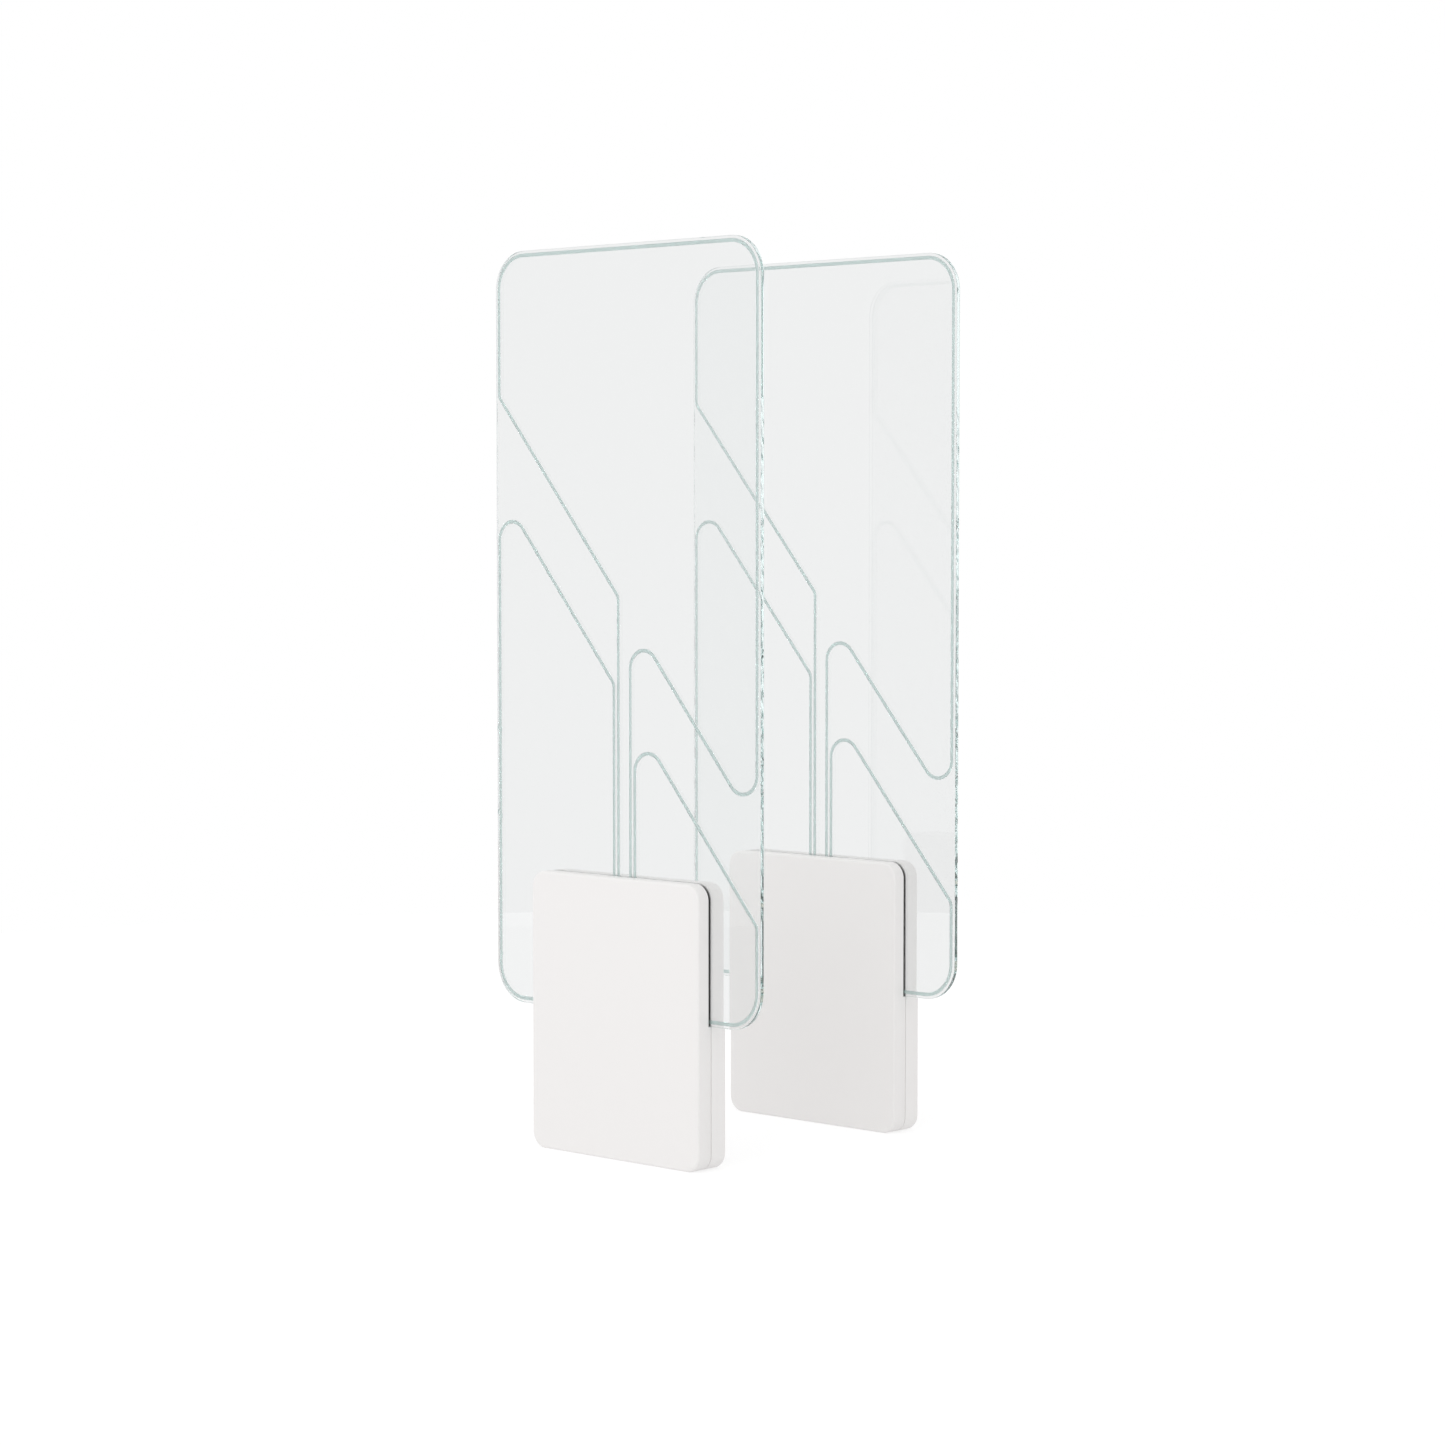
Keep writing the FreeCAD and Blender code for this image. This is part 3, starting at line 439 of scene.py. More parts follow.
def smooth(mesh: Mesh, angle: float = 28.0) -> None:
    """Shade a mesh smooth, except over edges sharper than an angle in degrees."""
    mesh.polygons.foreach_set("use_smooth", [True] * len(mesh.polygons))
    mesh.set_sharp_from_angle(angle=math.radians(angle))


def rings_mesh(name: str, rings: Sequence[Sequence[Vector]], outer: int = 0) -> Mesh:
    """Skin rings that have equal numbers of points.

    Args:
        name: the mesh's name.
        rings: the rings, in order.
        outer: for a hollow shell, how many rings lie outside. The rest lie inside, and the last one joins
            the first round the rim. At 0 the rings are a solid stack.

    Returns:
        A closed mesh, its two free ends filled and its faces pointing outwards.
    """
    shape = bmesh.new()
    loops = [[shape.verts.new(p) for p in ring] for ring in rings]
    count = len(loops[0])
    pairs = list(zip(loops, loops[1:]))
    if outer:
        del pairs[outer - 1]
        pairs.append((loops[-1], loops[0]))
    for a, b in pairs:
        for k in range(count):
            n = (k + 1) % count
            shape.faces.new((a[k], a[n], b[n], b[k]))
    for end in (outer - 1, outer) if outer else (0, -1):
        shape.faces.new(loops[end])
    weld(shape)
    return finished(shape, name)


def cylinders(name: str, places: Iterable[Point], radius: float, y0: float, y1: float,
              steps: int = 40) -> Mesh:
    """Round bars along Y at several (x, z) places, in one mesh."""
    shape = bmesh.new()
    for x, z in places:
        turn = Matrix.Translation((x, (y0 + y1) / 2, z)) @ Matrix.Rotation(math.pi / 2, 4, "X")
        bmesh.ops.create_cone(shape, cap_ends=True, segments=steps, radius1=radius, radius2=radius,
                              depth=y1 - y0, matrix=turn)
    return finished(shape, name)


def block(name: str, low: Sequence[float], high: Sequence[float]) -> Mesh:
    """A plain block used as a cutter."""
    shape = bmesh.new()
    bmesh.ops.create_cube(shape, size=1.0)
    size = [b - a for a, b in zip(low, high)]
    middle = [(a + b) / 2 for a, b in zip(low, high)]
    bmesh.ops.transform(shape, verts=shape.verts,
                        matrix=Matrix.Translation(middle) @ Matrix.Diagonal((*size, 1.0)))
    return finished(shape, name)


def carve(mesh: Mesh, tool: Mesh, join: bool = False) -> Mesh:
    """Cut a tool out of a mesh or join it on.

    Args:
        mesh: the closed mesh to work on. It is used up.
        tool: the closed mesh to work with. It is used up.
        join: True to join the tool on.

    Returns:
        The resulting mesh.
    """
    target = linked("carve_target", mesh)
    other = linked("carve_tool", tool)
    modifier = target.modifiers.new("carve", "BOOLEAN")
    modifier.operation = "UNION" if join else "DIFFERENCE"
    modifier.solver = "EXACT"
    modifier.object = other
    result = evaluated(target)
    for used in (target, other):
        bpy.data.objects.remove(used)
    for used in (mesh, tool):
        bpy.data.meshes.remove(used)
    return result


def placed(mesh: Mesh, y: float, name: str) -> Mesh:
    """A copy of a mesh, moved across the walkway."""
    copy = mesh.copy()
    copy.name = name
    copy.transform(Matrix.Translation((0, y, 0)))
    return copy


# ---- geometry nodes
class PieceTree:
    """A node tree with named inputs that ends in real geometry with one material."""

    def __init__(self, name: str, inputs: dict[str, str]) -> None:
        """Start the tree.

        Args:
            name: the tree's name.
            inputs: each input's socket type, by its name. Geometry comes before them and Finish after.
        """
        self.tree = bpy.data.node_groups.new(name, "GeometryNodeTree")
        face = self.tree.interface
        face.new_socket("Geometry", in_out="INPUT", socket_type="NodeSocketGeometry")
        self.sockets = {
            key: face.new_socket(key, in_out="INPUT", socket_type=kind).identifier
            for key, kind in (*inputs.items(), ("Finish", "NodeSocketMaterial"))}
        face.new_socket("Geometry", in_out="OUTPUT", socket_type="NodeSocketGeometry")
        self.given = add_node(self.tree, "NodeGroupInput")

    def end(self, made: Node) -> None:
        """End the tree: make what it made real, give it its material and put it out."""
        real = add_node(self.tree, "GeometryNodeRealizeInstances", {"Geometry": made})
        dressed = add_node(self.tree, "GeometryNodeSetMaterial", {
            "Geometry": real, "Material": self.given.outputs["Finish"]})
        add_node(self.tree, "NodeGroupOutput", {"Geometry": dressed})

    def run(self, name: str, start: Mesh, values: dict[str, object]) -> Mesh:
        """Run the tree.

        Args:
            name: the new mesh's name.
            start: the points or edges that it starts from. They are used up.
            values: each input's value, by its name.

        Returns:
            The result as a plain mesh.
        """
        holder = linked(name + "_start", start)
        modifier = holder.modifiers.new("tree", "NODES")
        modifier.node_group = self.tree
        for key, value in values.items():
            modifier[self.sockets[key]] = value
        mesh = evaluated(holder)
        mesh.name = name
        bpy.data.objects.remove(holder)
        bpy.data.meshes.remove(start)
        return mesh


class StripTree(PieceTree):
    """A node tree that sweeps a flat strip along a cornered path whose bends have their own radii.

    The path comes as an edge mesh whose points hold their bend's radius in the attribute "bend".
    """

    BEND_STEPS = 24
    ROUNDING_STEPS = 3

    def __init__(self) -> None:
        """Build the tree with its named inputs."""
        super().__init__("Swept_strip", dict.fromkeys(("Across", "Thickness", "Rounding"), "NodeSocketFloat"))
        tree, given = self.tree, self.given.outputs
        path = add_node(tree, "GeometryNodeMeshToCurve", {"Mesh": given["Geometry"]})
        bend = add_node(tree, "GeometryNodeInputNamedAttribute", {"Name": "bend"}, data_type="FLOAT")
        bent = add_node(tree, "GeometryNodeFilletCurve", {
            "Curve": path, "Count": self.BEND_STEPS, "Radius": bend, "Limit Radius": False}, mode="POLY")
        section = add_node(tree, "GeometryNodeCurvePrimitiveQuadrilateral", {
            "Width": given["Across"], "Height": given["Thickness"]}, mode="RECTANGLE")
        eased = add_node(tree, "GeometryNodeFilletCurve", {
            "Curve": section, "Count": self.ROUNDING_STEPS, "Radius": given["Rounding"]}, mode="POLY")
        swept = add_node(tree, "GeometryNodeCurveToMesh", {
            "Curve": bent, "Profile Curve": eased, "Fill Caps": True})
        self.end(swept)

    def sweep(self, name: str, path: Sequence[Point], bends: Sequence[float], y: float,
              across: float, thickness: float, finish: Finish, rounding: float = 0.0) -> Mesh:
        """Make one strip.

        Args:
            name: the mesh's name.
            path: the corner points, as (x, z).
            bends: the radius at each inner corner.
            y: the plane of the strip's middle.
            across: its width in the path's plane.
            thickness: its size along Y.
            finish: what it is made of.
            rounding: the radius of its section's corners.

        Returns:
            The strip as a plain closed mesh.
        """
        line = bpy.data.meshes.new(name + "_path")
        line.from_pydata([(x, y, z) for x, z in path], [(k, k + 1) for k in range(len(path) - 1)], [])
        radii = line.attributes.new("bend", "FLOAT", "POINT")
        radii.data.foreach_set("value", [0.0, *bends, 0.0])
        mesh = self.run(name, line, {"Across": across, "Thickness": thickness, "Rounding": rounding,
                                     "Finish": finish.material()})
        shape = bmesh.new()
        shape.from_mesh(mesh)
        weld(shape)
        shape.to_mesh(mesh)
        shape.free()
        return mesh


class RowTree(PieceTree):
    """A node tree that stands copies of one part on points, each turned by the attribute "turn"."""

    def __init__(self) -> None:
        """Build the tree with its named inputs."""
        super().__init__("Part_on_points", {"Part": "NodeSocketObject"})
        tree, given = self.tree, self.given.outputs
        part = add_node(tree, "GeometryNodeObjectInfo", {"Object": given["Part"]})
        turn = add_node(tree, "GeometryNodeInputNamedAttribute", {"Name": "turn"}, data_type="FLOAT_VECTOR")
        copies = add_node(tree, "GeometryNodeInstanceOnPoints", {
            "Points": given["Geometry"], "Instance": part.outputs["Geometry"], "Rotation": turn})
        self.end(copies)

    def stand(self, name: str, part: Mesh, places: Sequence[tuple[Vector, float]], finish: Finish) -> Mesh:
        """Make the copies.

        Args:
            name: the mesh's name.
            part: the small part about its own origin. It is used up.
            places: each copy's place and its turn about Y, in degrees.
            finish: what it is made of.

        Returns:
            All the copies as one plain mesh.
        """
        points = bpy.data.meshes.new(name + "_points")
        points.from_pydata([place for place, _ in places], [], [])
        turns = points.attributes.new("turn", "FLOAT_VECTOR", "POINT")
        turns.data.foreach_set("vector", [v for _, a in places for v in (0.0, math.radians(a), 0.0)])
        source = linked(name + "_part", part)
        mesh = self.run(name, points, {"Part": source, "Finish": finish.material()})
        bpy.data.objects.remove(source)
        bpy.data.meshes.remove(part)
        return mesh


# ---- the pedestal's parts
@dataclass
class AerialLoops:
    """The two aerial loops of a panel: their centre lines, their grooves and their strips."""

    half_width: float
    bottom: float
    top: float
    corner: float
    inset: float = 7.8 * MM
    slant: float = math.radians(40)
    bend: float = 18 * MM
    turn: float = 31 * MM
    end: float = 285 * MM
    # Each loop's distance from the middle as it rises, then the heights of its left bend and right turn.
    upper: tuple[float, ...] = (13.6 * MM, 925.0 * MM, 560.5 * MM)
    lower: tuple[float, ...] = (23.7 * MM, 782.3 * MM, 404.7 * MM)

    def line(self, upper: bool) -> tuple[list[Point], list[float]]:
        """The corner points of one loop's centre line, and the radius at each inner one."""
        riser, bend, turn = self.upper if upper else self.lower
        side = self.half_width - self.inset
        rise = (side - riser) / math.tan(self.slant)
        corner = self.corner - self.inset
        far = self.top - self.inset if upper else self.bottom + self.inset
        points = [(-riser, self.end), (-riser, bend), (-side, bend + rise), (-side, far),
                  (side, far), (side, turn), (riser, turn + rise), (riser, self.end)]
        left, right = (self.bend, self.turn) if upper else (self.turn, self.bend)
        return points, [self.bend, left, corner, corner, right, self.turn]


@dataclass
class GlassPanel:
    """The clear panel with ground arrises, loop grooves and bolt holes.

    A hair of air lies between it and the pads and blocks that hold it, as on the real one. Without it they
    would soak up the light that travels inside the sheet.
    """

    strips: StripTree
    corner: float = 64 * MM
    arris: float = 0.8 * MM
    groove: float = 6 * MM
    groove_depth: float = 2.5 * MM
    strip: float = 5.8 * MM
    strip_thick: float = 2.3 * MM
    strip_lift: float = 0.06 * MM
    strip_rounding: float = 0.3 * MM
    air: float = 0.03 * MM
    bolt_x: float = 100 * MM
    bolt_z: tuple[float, float] = (285 * MM, 425 * MM)
    hole: float = 7 * MM
    cutter_proud: float = 1.0 * MM
    corner_steps: int = 32
    sharpest: float = 12.0
    low: Vector = field(init=False)
    high: Vector = field(init=False)
    centre: float = field(init=False)
    loops: AerialLoops = field(init=False)

    def __post_init__(self) -> None:
        """Read the panel's box from the frame."""
        self.low, self.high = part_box(Side.PRIMARY.node("glass_panel"))
        self.centre = Side.PRIMARY.centre
        self.loops = AerialLoops(self.high.x, self.low.z, self.high.z, self.corner)

    @property
    def front(self) -> float:
        """The plane of the sheet's front face, about the foot's centre."""
        return self.low.y - self.centre + self.air

    @property
    def back(self) -> float:
        """The plane of its back face."""
        return self.high.y - self.centre - self.air

    def slab(self) -> Mesh:
        """The sheet with its polished edge, whose arrises are rounded in three flats."""
        front, back = self.front, self.back
        rings = []
        for depth, inset in ((0.0, self.arris), (FLAT * self.arris, FLAT * self.arris), (self.arris, 0.0)):
            rings.append((front + depth, inset))
        rings += [(front + back - y, inset) for y, inset in reversed(rings)]
        loops = []
        for y, inset in rings:
            outline = rounded_outline(self.high.x - inset, self.low.z + self.air + inset,
                                      self.high.z - inset, self.corner - inset, self.corner_steps)
            loops.append([Vector((x, y, z)) for x, z in outline])
        return rings_mesh("glass_panel", loops)

    def build(self) -> Mesh:
        """The finished sheet about its own foot centre."""
        mesh = self.slab()
        for upper in (True, False):
            points, radii = self.loops.line(upper)
            middle = self.front + (self.groove_depth - self.cutter_proud) / 2
            cutter = self.strips.sweep("groove", points, radii, middle, self.groove,
                                       self.groove_depth + self.cutter_proud, Palette.GLASS)
            mesh = carve(mesh, cutter)
        places = [(x, z) for x in (-self.bolt_x, self.bolt_x) for z in self.bolt_z]
        holes = cylinders("bolt_holes", places, self.hole + self.air, self.front - MM, self.back + MM)
        mesh = carve(mesh, holes)
        smooth(mesh, self.sharpest)
        return mesh

    def loop(self, upper: bool) -> Mesh:
        """One loop's strip, lying in its groove with a hair of air under it."""
        points, radii = self.loops.line(upper)
        floor = self.front + self.groove_depth - self.strip_lift
        mesh = self.strips.sweep("loop_strip", points, radii, floor - self.strip_thick / 2,
                                 self.strip, self.strip_thick, Palette.JACKET, self.strip_rounding)
        smooth(mesh)
        return mesh


@dataclass
class FootCovers:
    """The foot's two moulded covers and the gasket in the front one's slot."""

    strips: StripTree
    corner: float = 27 * MM
    edge: float = 4 * MM
    wall: float = 3 * MM
    seam_gap: float = 1.4 * MM
    slot_gap: float = 2.3 * MM
    rear_gap: float = 0.3 * MM
    lip: float = 3.5 * MM
    lip_thick: float = 1.0 * MM
    lip_clear: float = 0.3 * MM
    eased: float = 0.3 * MM
    corner_steps: int = 20
    edge_steps: int = 14
    reach: float = 0.6 * MM
    step: float = 0.05 * MM
    stud_places: tuple[Point, ...] = ((90 * MM, 22 * MM), (150 * MM, 355 * MM))
    stud: float = 4.05 * MM
    stud_bore: Point = (-29 * MM, -19 * MM)
    socket: float = 8 * MM
    socket_end: float = -20 * MM
    post: float = 3 * MM
    screw_places: tuple[Point, ...] = ((60 * MM, 20 * MM), (25 * MM, 440 * MM))
    screw: float = 2.55 * MM
    pilot_depth: float = 12 * MM
    boss: float = 6 * MM
    boss_root: float = 9.5 * MM
    plate_clear: float = 2 * MM
    gasket_width: float = 2.2 * MM
    gasket_recess: float = 0.8 * MM
    gasket_slack: float = 0.4 * MM
    gasket_lift: float = 0.05 * MM
    gasket_rounding: float = 0.5 * MM
    half_width: float = field(init=False)
    top: float = field(init=False)
    face: float = field(init=False)
    seam: float = field(init=False)
    glass_front: float = field(init=False)
    glass_back: float = field(init=False)
    slot_floor: float = field(init=False)

    def __post_init__(self) -> None:
        """Read the foot's sizes from the frame."""
        low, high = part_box(Side.PRIMARY.node("front_cover"))
        panel_low, panel_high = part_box(Side.PRIMARY.node("glass_panel"))
        centre = Side.PRIMARY.centre
        self.half_width, self.top = high.x, high.z
        self.face = centre - low.y
        self.glass_front, self.glass_back = panel_low.y - centre, panel_high.y - centre
        self.seam = (self.glass_front + self.glass_back) / 2
        self.slot_floor = panel_low.z - 0.5 * MM  # a little under the panel's lower edge

    def ring(self, offset: float, depth: Callable[[float], float]) -> list[Vector]:
        """The foot's outline drawn in by an offset, each point at the depth for its height.

        Two points stand close together where the slot's floor crosses each side, so that the rim can step.
        """
        outline = rounded_outline(self.half_width - offset, offset, self.top - offset,
                                  self.corner - offset, self.corner_steps)
        split, step = [], self.step
        for a, b in zip(outline, outline[1:] + outline[:1]):
            split.append(a)
            if (a[1] - self.slot_floor) * (b[1] - self.slot_floor) < 0:
                first, second = (step, -step) if a[1] > b[1] else (-step, step)
                split += [(a[0], self.slot_floor + first), (a[0], self.slot_floor + second)]
        return [Vector((x, depth(z), z)) for x, z in split]

    def stepped(self, low: float, high: float) -> Callable[[float], float]:
        """A depth that is low below the slot's floor and high above it."""
        return lambda z: high if z > self.slot_floor else low

    def half_shell(self, sign: int, low_rim: float, high_rim: float, lipped: bool) -> Mesh:
        """One hollow half of the foot.

        Args:
            sign: -1 for the front half and 1 for the rear.
            low_rim: the rim's plane under the slot's floor.
            high_rim: the rim's plane beside and above the glass.
            lipped: True if the rim carries the tongue, and False if it is rebated for it.

        Returns:
            The closed shell.
        """
        rings: list[list[Vector]] = []
        flat = self.face - self.edge

        def add(offset: float, low: float, high: float | None = None) -> None:
            """Add one ring of the section, given its planes under and over the slot's floor."""
            rings.append(self.ring(offset, self.stepped(low, low if high is None else high)))

        reach, bevel = self.reach, self.eased
        add(bevel, low_rim, high_rim)
        add(bevel * FLAT, low_rim + sign * bevel * FLAT, high_rim + sign * bevel * FLAT)
        add(0.0, low_rim + sign * bevel, high_rim + sign * bevel)
        add(0.0, sign * (flat - reach))
        for k in range(self.edge_steps + 1):
            angle = math.radians(90 * k / self.edge_steps)
            add(self.edge * (1 - math.cos(angle)), sign * (flat + self.edge * math.sin(angle)))
        add(self.edge + reach, sign * self.face)
        outer = len(rings)
        add(self.edge + reach, sign * (self.face - self.wall))
        inner_edge = self.edge - self.wall
        for k in range(self.edge_steps // 2 + 1):
            angle = math.radians(90 - 180 * k / self.edge_steps)
            add(self.wall + inner_edge * (1 - math.cos(angle)), sign * (flat + inner_edge * math.sin(angle)))
        if lipped:
            lap, drop = self.wall - self.lip_thick, -sign * self.lip
        else:
            lap = self.wall - self.lip_thick - self.lip_clear
            drop = sign * (self.lip + self.lip_clear)
        add(self.wall, low_rim + drop, high_rim)
        add(lap, low_rim + drop, high_rim)
        add(lap, low_rim, high_rim)
        return rings_mesh("half_shell", rings, outer)

    def floor_opening(self) -> Mesh:
        """The cutter for the opening that the floor plate fills."""
        low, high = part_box(Side.PRIMARY.node("floor_plate"))
        clear = self.plate_clear
        half_depth = (high.y - low.y) / 2 + clear
        return block("floor_opening", (low.x - clear, -half_depth, -5 * MM),
                     (high.x + clear, half_depth, high.z + clear))

    def front(self) -> Mesh:
        """The front cover, with its stud sockets and the post that works the tamper switch."""
        mesh = self.half_shell(-1, self.seam - self.seam_gap / 2, self.glass_front - self.slot_gap, False)
        mesh = carve(mesh, self.floor_opening())
        studs = mirrored(self.stud_places)
        inside = -self.face + self.wall / 2
        mesh = carve(mesh, cylinders("sockets", studs, self.socket, inside, self.socket_end), join=True)
        mesh = carve(mesh, cylinders("bores", studs, self.stud, *self.stud_bore))
        low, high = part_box(Side.PRIMARY.node("tamper_plunger"))
        place = ((low.x + high.x) / 2, (low.z + high.z) / 2)
        tip = low.y - Side.PRIMARY.centre - self.rear_gap
        mesh = carve(mesh, cylinders("post", [place], self.post, inside, tip), join=True)
        smooth(mesh)
        return mesh

    def rear(self) -> Mesh:
        """The rear cover, with its tongue and its four screw bosses."""
        mesh = self.half_shell(1, self.seam + self.seam_gap / 2, self.glass_back + self.rear_gap, True)
        mesh = carve(mesh, self.floor_opening())
        screws, root = mirrored(self.screw_places), self.boss_root
        mesh = carve(mesh, cylinders("bosses", screws, self.boss, root, self.face - self.wall / 2), join=True)
        pilots = cylinders("pilots", screws, self.screw, root - MM, root + self.pilot_depth)
        mesh = carve(mesh, pilots)
        smooth(mesh)
        return mesh

    def gasket(self) -> Mesh:
        """The rubber strip in the slot, up one side, over the top and down the other."""
        offset = self.gasket_recess + self.gasket_width / 2
        side, top = self.half_width - offset, self.top - offset
        low = self.slot_floor + 0.1 * MM
        bend = self.corner - offset
        thick = self.slot_gap - self.gasket_slack
        y = self.glass_front - self.slot_gap + thick / 2 + self.gasket_lift
        mesh = self.strips.sweep("gasket", [(-side, low), (-side, top), (side, top), (side, low)],
                                 [bend, bend], y, self.gasket_width, thick, Palette.RUBBER,
                                 self.gasket_rounding)
        smooth(mesh)
        return mesh


@dataclass
class BoardDetail:
    """What is too small on the circuit board for its solids: package legs and terminal screws."""

    rows: RowTree
    pitch: float = 1.27 * MM
    leg_steps: tuple[float, ...] = (-0.1 * MM, 0.5 * MM, 1.0 * MM, 1.8 * MM)
    strip: float = 0.2 * MM
    strip_share: float = 0.95
    half_strip: float = 0.22 * MM
    lift: float = 0.8 * MM
    screw_x: tuple[float, ...] = (-18 * MM, -6 * MM, 6 * MM, 18 * MM)
    screw_z: float = 190 * MM
    screw_r: float = 2.2 * MM
    screw_turns: tuple[float, ...] = (24.0, 151.0, 78.0, 112.0)
    screw_steps: int = 36
    head: float = 1.2 * MM
    head_rim: float = 0.35 * MM
    slot_half: float = 0.3 * MM
    slot_depth: float = 0.6 * MM
    well_floor: float = 9.5 * MM
    face: float = field(init=False)

    PACKAGES = (  # left and lower edge, width and height in mm, and whether all four sides have legs
        (64.0, 122.0, 14.0, 14.0, True),
        (62.0, 94.0, 10.0, 6.0, False),
        (40.0, 122.0, 8.0, 10.0, False),
        (40.0, 150.0, 12.0, 8.0, False),
        (-18.0, 130.0, 12.0, 16.0, False),
        (-18.0, 104.0, 8.0, 8.0, True),
    )

    def __post_init__(self) -> None:
        """Read the board's face from the frame."""
        self.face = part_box(Side.PRIMARY.node("circuit_board"))[0].y - Side.PRIMARY.centre

    def leg(self) -> Mesh:
        """One gull-wing leg that leaves its package along X and lands on the board."""
        heights = (-self.lift, -self.lift, -self.strip, -self.strip)
        upper = list(zip(self.leg_steps, heights))
        outline = upper + [(x, y + self.strip * self.strip_share) for x, y in reversed(upper)]
        rings = [[Vector((x, y, z)) for x, y in outline] for z in (-self.half_strip, self.half_strip)]
        return rings_mesh("package_leg", rings)

    def row(self, length: float) -> list[float]:
        """The legs' places along one side, about its middle."""
        count = int((length - self.pitch) / self.pitch) + 1
        return [(k - (count - 1) / 2) * self.pitch for k in range(count)]

    def legs(self) -> Mesh:
        """All the legs of all the packages."""
        places = []
        for left, low, width, height, all_round in self.PACKAGES:
            left, low, width, height = left * MM, low * MM, width * MM, height * MM
            x, z = left + width / 2, low + height / 2
            for along in self.row(height):
                places.append((Vector((left + width, self.face, z + along)), 0.0))
                places.append((Vector((left, self.face, z + along)), 180.0))
            if all_round:
                for along in self.row(width):
                    places.append((Vector((x + along, self.face, low + height)), -90.0))
                    places.append((Vector((x + along, self.face, low)), 90.0))
        return self.rows.stand("package_legs", self.leg(), places, Palette.TIN)

    def screw(self) -> Mesh:
        """One slotted clamping screw: a rounded head with a driver slot, facing the front."""
        rim, height, half = self.head_rim, self.head, self.slot_half
        rings = []
        for y, radius in ((0.0, self.screw_r), (-height + rim, self.screw_r),
                          (-height + FLAT * rim, self.screw_r - FLAT * rim), (-height, self.screw_r - rim)):
            rings.append([Vector((x, y, z)) for x, z in circle_points(radius, self.screw_steps)])
        head = rings_mesh("terminal_screw", rings)
        slot = block("slot", (-self.screw_r - MM, -height - MM, -half),
                     (self.screw_r + MM, -height + self.slot_depth, half))
        head = carve(head, slot)
        smooth(head)
        return head

    def screws(self) -> Mesh:
        """The four screws, each left at its own angle in its well."""
        floor = self.face - self.well_floor
        places = [(Vector((x, floor, self.screw_z)), angle)
                  for x, angle in zip(self.screw_x, self.screw_turns)]
        return self.rows.stand("terminal_screws", self.screw(), places, Palette.ZINC)


class Gate:
    """The whole gate: two pedestals and what they hold."""

    DRESSED = {
        Palette.RUBBER: ("cable_grommets",),
        Palette.SILICONE: ("front_pads", "rear_pads", "setting_blocks"),
        Palette.COATED: ("floor_plate", "upright_frame", "clamp_plates"),
        Palette.ZINC: ("clamp_bolts", "clamp_nuts", "cover_studs", "rear_cover_screws", "board_screws"),
        Palette.NYLON: ("glass_bushes", "loop_terminals"),
        Palette.BOARD: ("circuit_board",),
        Palette.BLACK: ("board_chips", "board_capacitors", "tamper_switch", "power_switch",
                        "power_rocker", "sounder", "volume_knob"),
        Palette.CERAMIC: ("trimmer_bodies", "volume_control"),
        Palette.BRASS: ("upper_trimmer", "lower_trimmer", "board_standoffs"),
        Palette.TIN: ("shield_cans",),
        Palette.TERMINAL: ("wire_terminals", "supply_terminal"),
        Palette.SLEEVE: ("aerial_leads", "supply_leads"),
        Palette.RED: ("tamper_plunger",),
        Palette.CASE: ("power_supply",),
    }

    def __init__(self) -> None:
        """Prepare what both pedestals share."""
        self.strips = StripTree()
        self.panel = GlassPanel(self.strips)
        self.covers = FootCovers(self.strips)
        self.board = BoardDetail(RowTree())

    def dress_nodes(self) -> None:
        """Give every CAD node that stays its finish."""
        for finish, names in self.DRESSED.items():
            for name in names:
                for node in (name, *(side.node(name) for side in Side)):
                    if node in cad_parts:
                        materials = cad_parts[node].data.materials
                        materials.clear()
                        materials.append(finish.material())
                        LOG.info("dressed %s in %s", node, finish.name)

    def add(self, mesh: Mesh, name: str, finish: Finish, slot: str, body: str = "root",
            extra: bool = False) -> None:
        """Stand one mesh on both pedestals.

        Args:
            mesh: the shape about its own foot centre. It is used up.
            name: the CAD node's name, or an extra piece's own name, without its pedestal.
            finish: what it is made of.
            slot: the record's material slot. It is not used.
            body: the CAD body that it rides on, after the pedestal's name, or root.
            extra: True if it takes no CAD node's place.
        """
        for side in Side:
            node = side.node(name)
            piece = new_piece(node if extra else node + "_shape", placed(mesh, side.centre, node), finish)
            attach(piece, body if body == "root" else side.node(body))
            if not extra:
                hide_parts(node)
            LOG.info("made %s with %d faces", piece.name, len(piece.data.polygons))
        bpy.data.meshes.remove(mesh)

    def build(self) -> None:
        """Make every piece."""
        self.add(self.panel.build(), "glass_panel", Palette.GLASS, "clear_glass")
        self.add(self.panel.loop(True), "upper_loop", Palette.JACKET, "aerial_jacket")
        self.add(self.panel.loop(False), "lower_loop", Palette.JACKET, "aerial_jacket")
        self.add(self.covers.front(), "front_cover", Palette.SHELL, "white_shell", "cover")
        self.add(self.covers.rear(), "rear_cover", Palette.SHELL, "white_shell")
        self.add(self.covers.gasket(), "cover_gasket", Palette.RUBBER, "black_rubber", "cover")
        self.add(self.board.legs(), "package_legs", Palette.TIN, "tinned_steel", extra=True)
        self.add(self.board.screws(), "terminal_screws", Palette.ZINC, "zinc_steel", extra=True)
        self.dress_nodes()


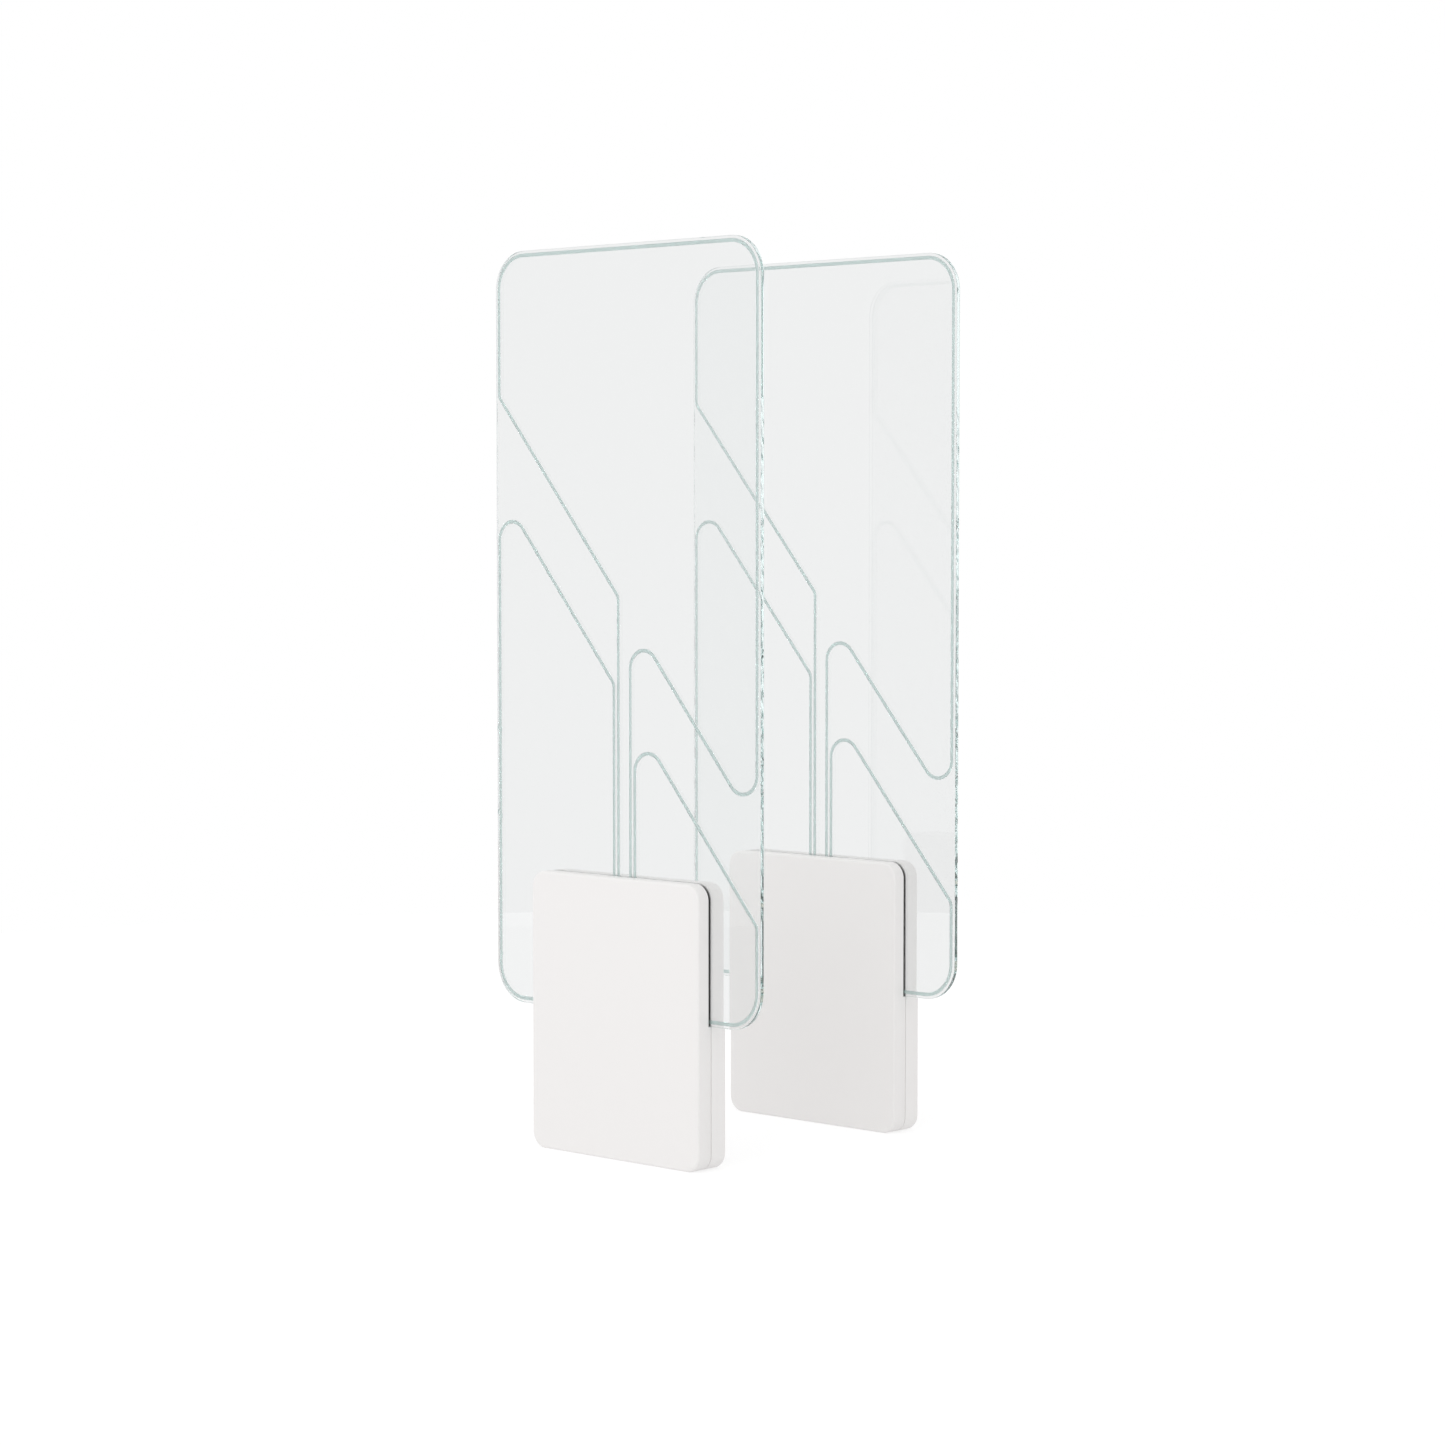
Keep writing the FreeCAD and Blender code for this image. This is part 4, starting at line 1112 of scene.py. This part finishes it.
# ---- studio
@dataclass(frozen=True)
class Studio:
    """The camera, and a white floor and dome whose front is brighter, as from a large window.

    The dome and the floor are a shade darker to every other ray than to the camera. So the room is plain
    white, and a clear panel still shows against it. The floor ends a few metres from the gate, and its
    edge shows through the panels.
    """

    eye: tuple[float, float, float] = (3.9518, -4.3314, 1.0413)
    heading: float = 42.469
    tilt: float = 3.245
    lens: float = 86.47
    sensor: float = 36.0
    far: float = 200.0
    floor_radius: float = 3.5
    floor_steps: int = 180
    white: float = 1.0
    dimmed: float = 0.90
    floor_diffuse: float = 0.45
    window: tuple[float, float, float] = (0.0, -0.93, 0.36)
    window_boost: float = 0.36
    bounces: int = 300

    def camera(self) -> None:
        """Stand the camera at the right-hand front, a little above the gate's middle."""
        data = bpy.data.cameras.new("camera")
        data.lens = self.lens
        data.sensor_width = self.sensor
        data.clip_end = self.far
        camera = linked("camera", data)
        camera.location = self.eye
        camera.rotation_euler = (math.radians(90 - self.tilt), 0, math.radians(self.heading))
        bpy.context.scene.camera = camera

    def brightness(self, tree: Tree, dimmed: float | Node, white: float) -> Node:
        """A strength that is white for the camera and dimmed for every other ray."""
        path = add_node(tree, "ShaderNodeLightPath")
        return add_node(tree, "ShaderNodeMapRange", {
            "Value": path.outputs["Is Camera Ray"], "To Min": dimmed, "To Max": white})

    def floor(self) -> None:
        """Lay a plain white floor that takes only a faint shadow."""
        mesh = bpy.data.meshes.new("floor")
        rim = [(x, y, 0.0) for x, y in circle_points(self.floor_radius, self.floor_steps)]
        mesh.from_pydata(rim, [], [tuple(range(len(rim)))])
        material, tree = new_material("Studio_floor_white")
        share = self.floor_diffuse
        paint = add_node(tree, "ShaderNodeBsdfDiffuse", {"Color": (share, share, share, 1.0)})
        glow = add_node(tree, "ShaderNodeEmission", {
            "Strength": self.brightness(tree, (1 - share) * self.dimmed, self.white - share * self.dimmed)})
        both = add_node(tree, "ShaderNodeAddShader", {0: paint, 1: glow})
        add_node(tree, "ShaderNodeOutputMaterial", {"Surface": both})
        mesh.materials.append(material)
        floor = linked("floor", mesh)

    def dome(self) -> None:
        """Surround the gate with a white dome that brightens smoothly towards its window."""
        world = bpy.data.worlds.new("dome")
        bpy.context.scene.world = world
        world.use_nodes = True
        tree = world.node_tree
        tree.nodes.clear()
        place = add_node(tree, "ShaderNodeTexCoord")
        towards = add_node(tree, "ShaderNodeVectorMath", {
            0: place.outputs["Generated"], 1: Vector(self.window).normalized()}, operation="DOT_PRODUCT")
        level = add_node(tree, "ShaderNodeMapRange", {
            "Value": towards.outputs["Value"], "From Min": 0.0, "From Max": 1.0, "To Min": self.dimmed,
            "To Max": self.dimmed + self.window_boost}, interpolation_type="SMOOTHSTEP")
        glow = add_node(tree, "ShaderNodeBackground", {
            "Color": (1.0, 1.0, 1.0, 1.0), "Strength": self.brightness(tree, level, self.white)})
        add_node(tree, "ShaderNodeOutputWorld", {"Surface": glow})

    def build(self) -> None:
        """Set up the whole studio."""
        self.camera()
        self.floor()
        self.dome()
        scene = bpy.context.scene
        scene.view_settings.view_transform = "Standard"
        # Light that enters a panel's edge crosses it by dozens of inner reflections before it leaves.
        scene.cycles.max_bounces = self.bounces
        scene.cycles.glossy_bounces = self.bounces
        scene.cycles.transmission_bounces = self.bounces
        # Blurred paths would lose the light that reaches the foot through a panel.
        scene.cycles.blur_glossy = 0.0


def main() -> None:
    """Build the studio and the gate."""
    Studio().build()
    Gate().build()


if __name__ == "__main__":
    main()
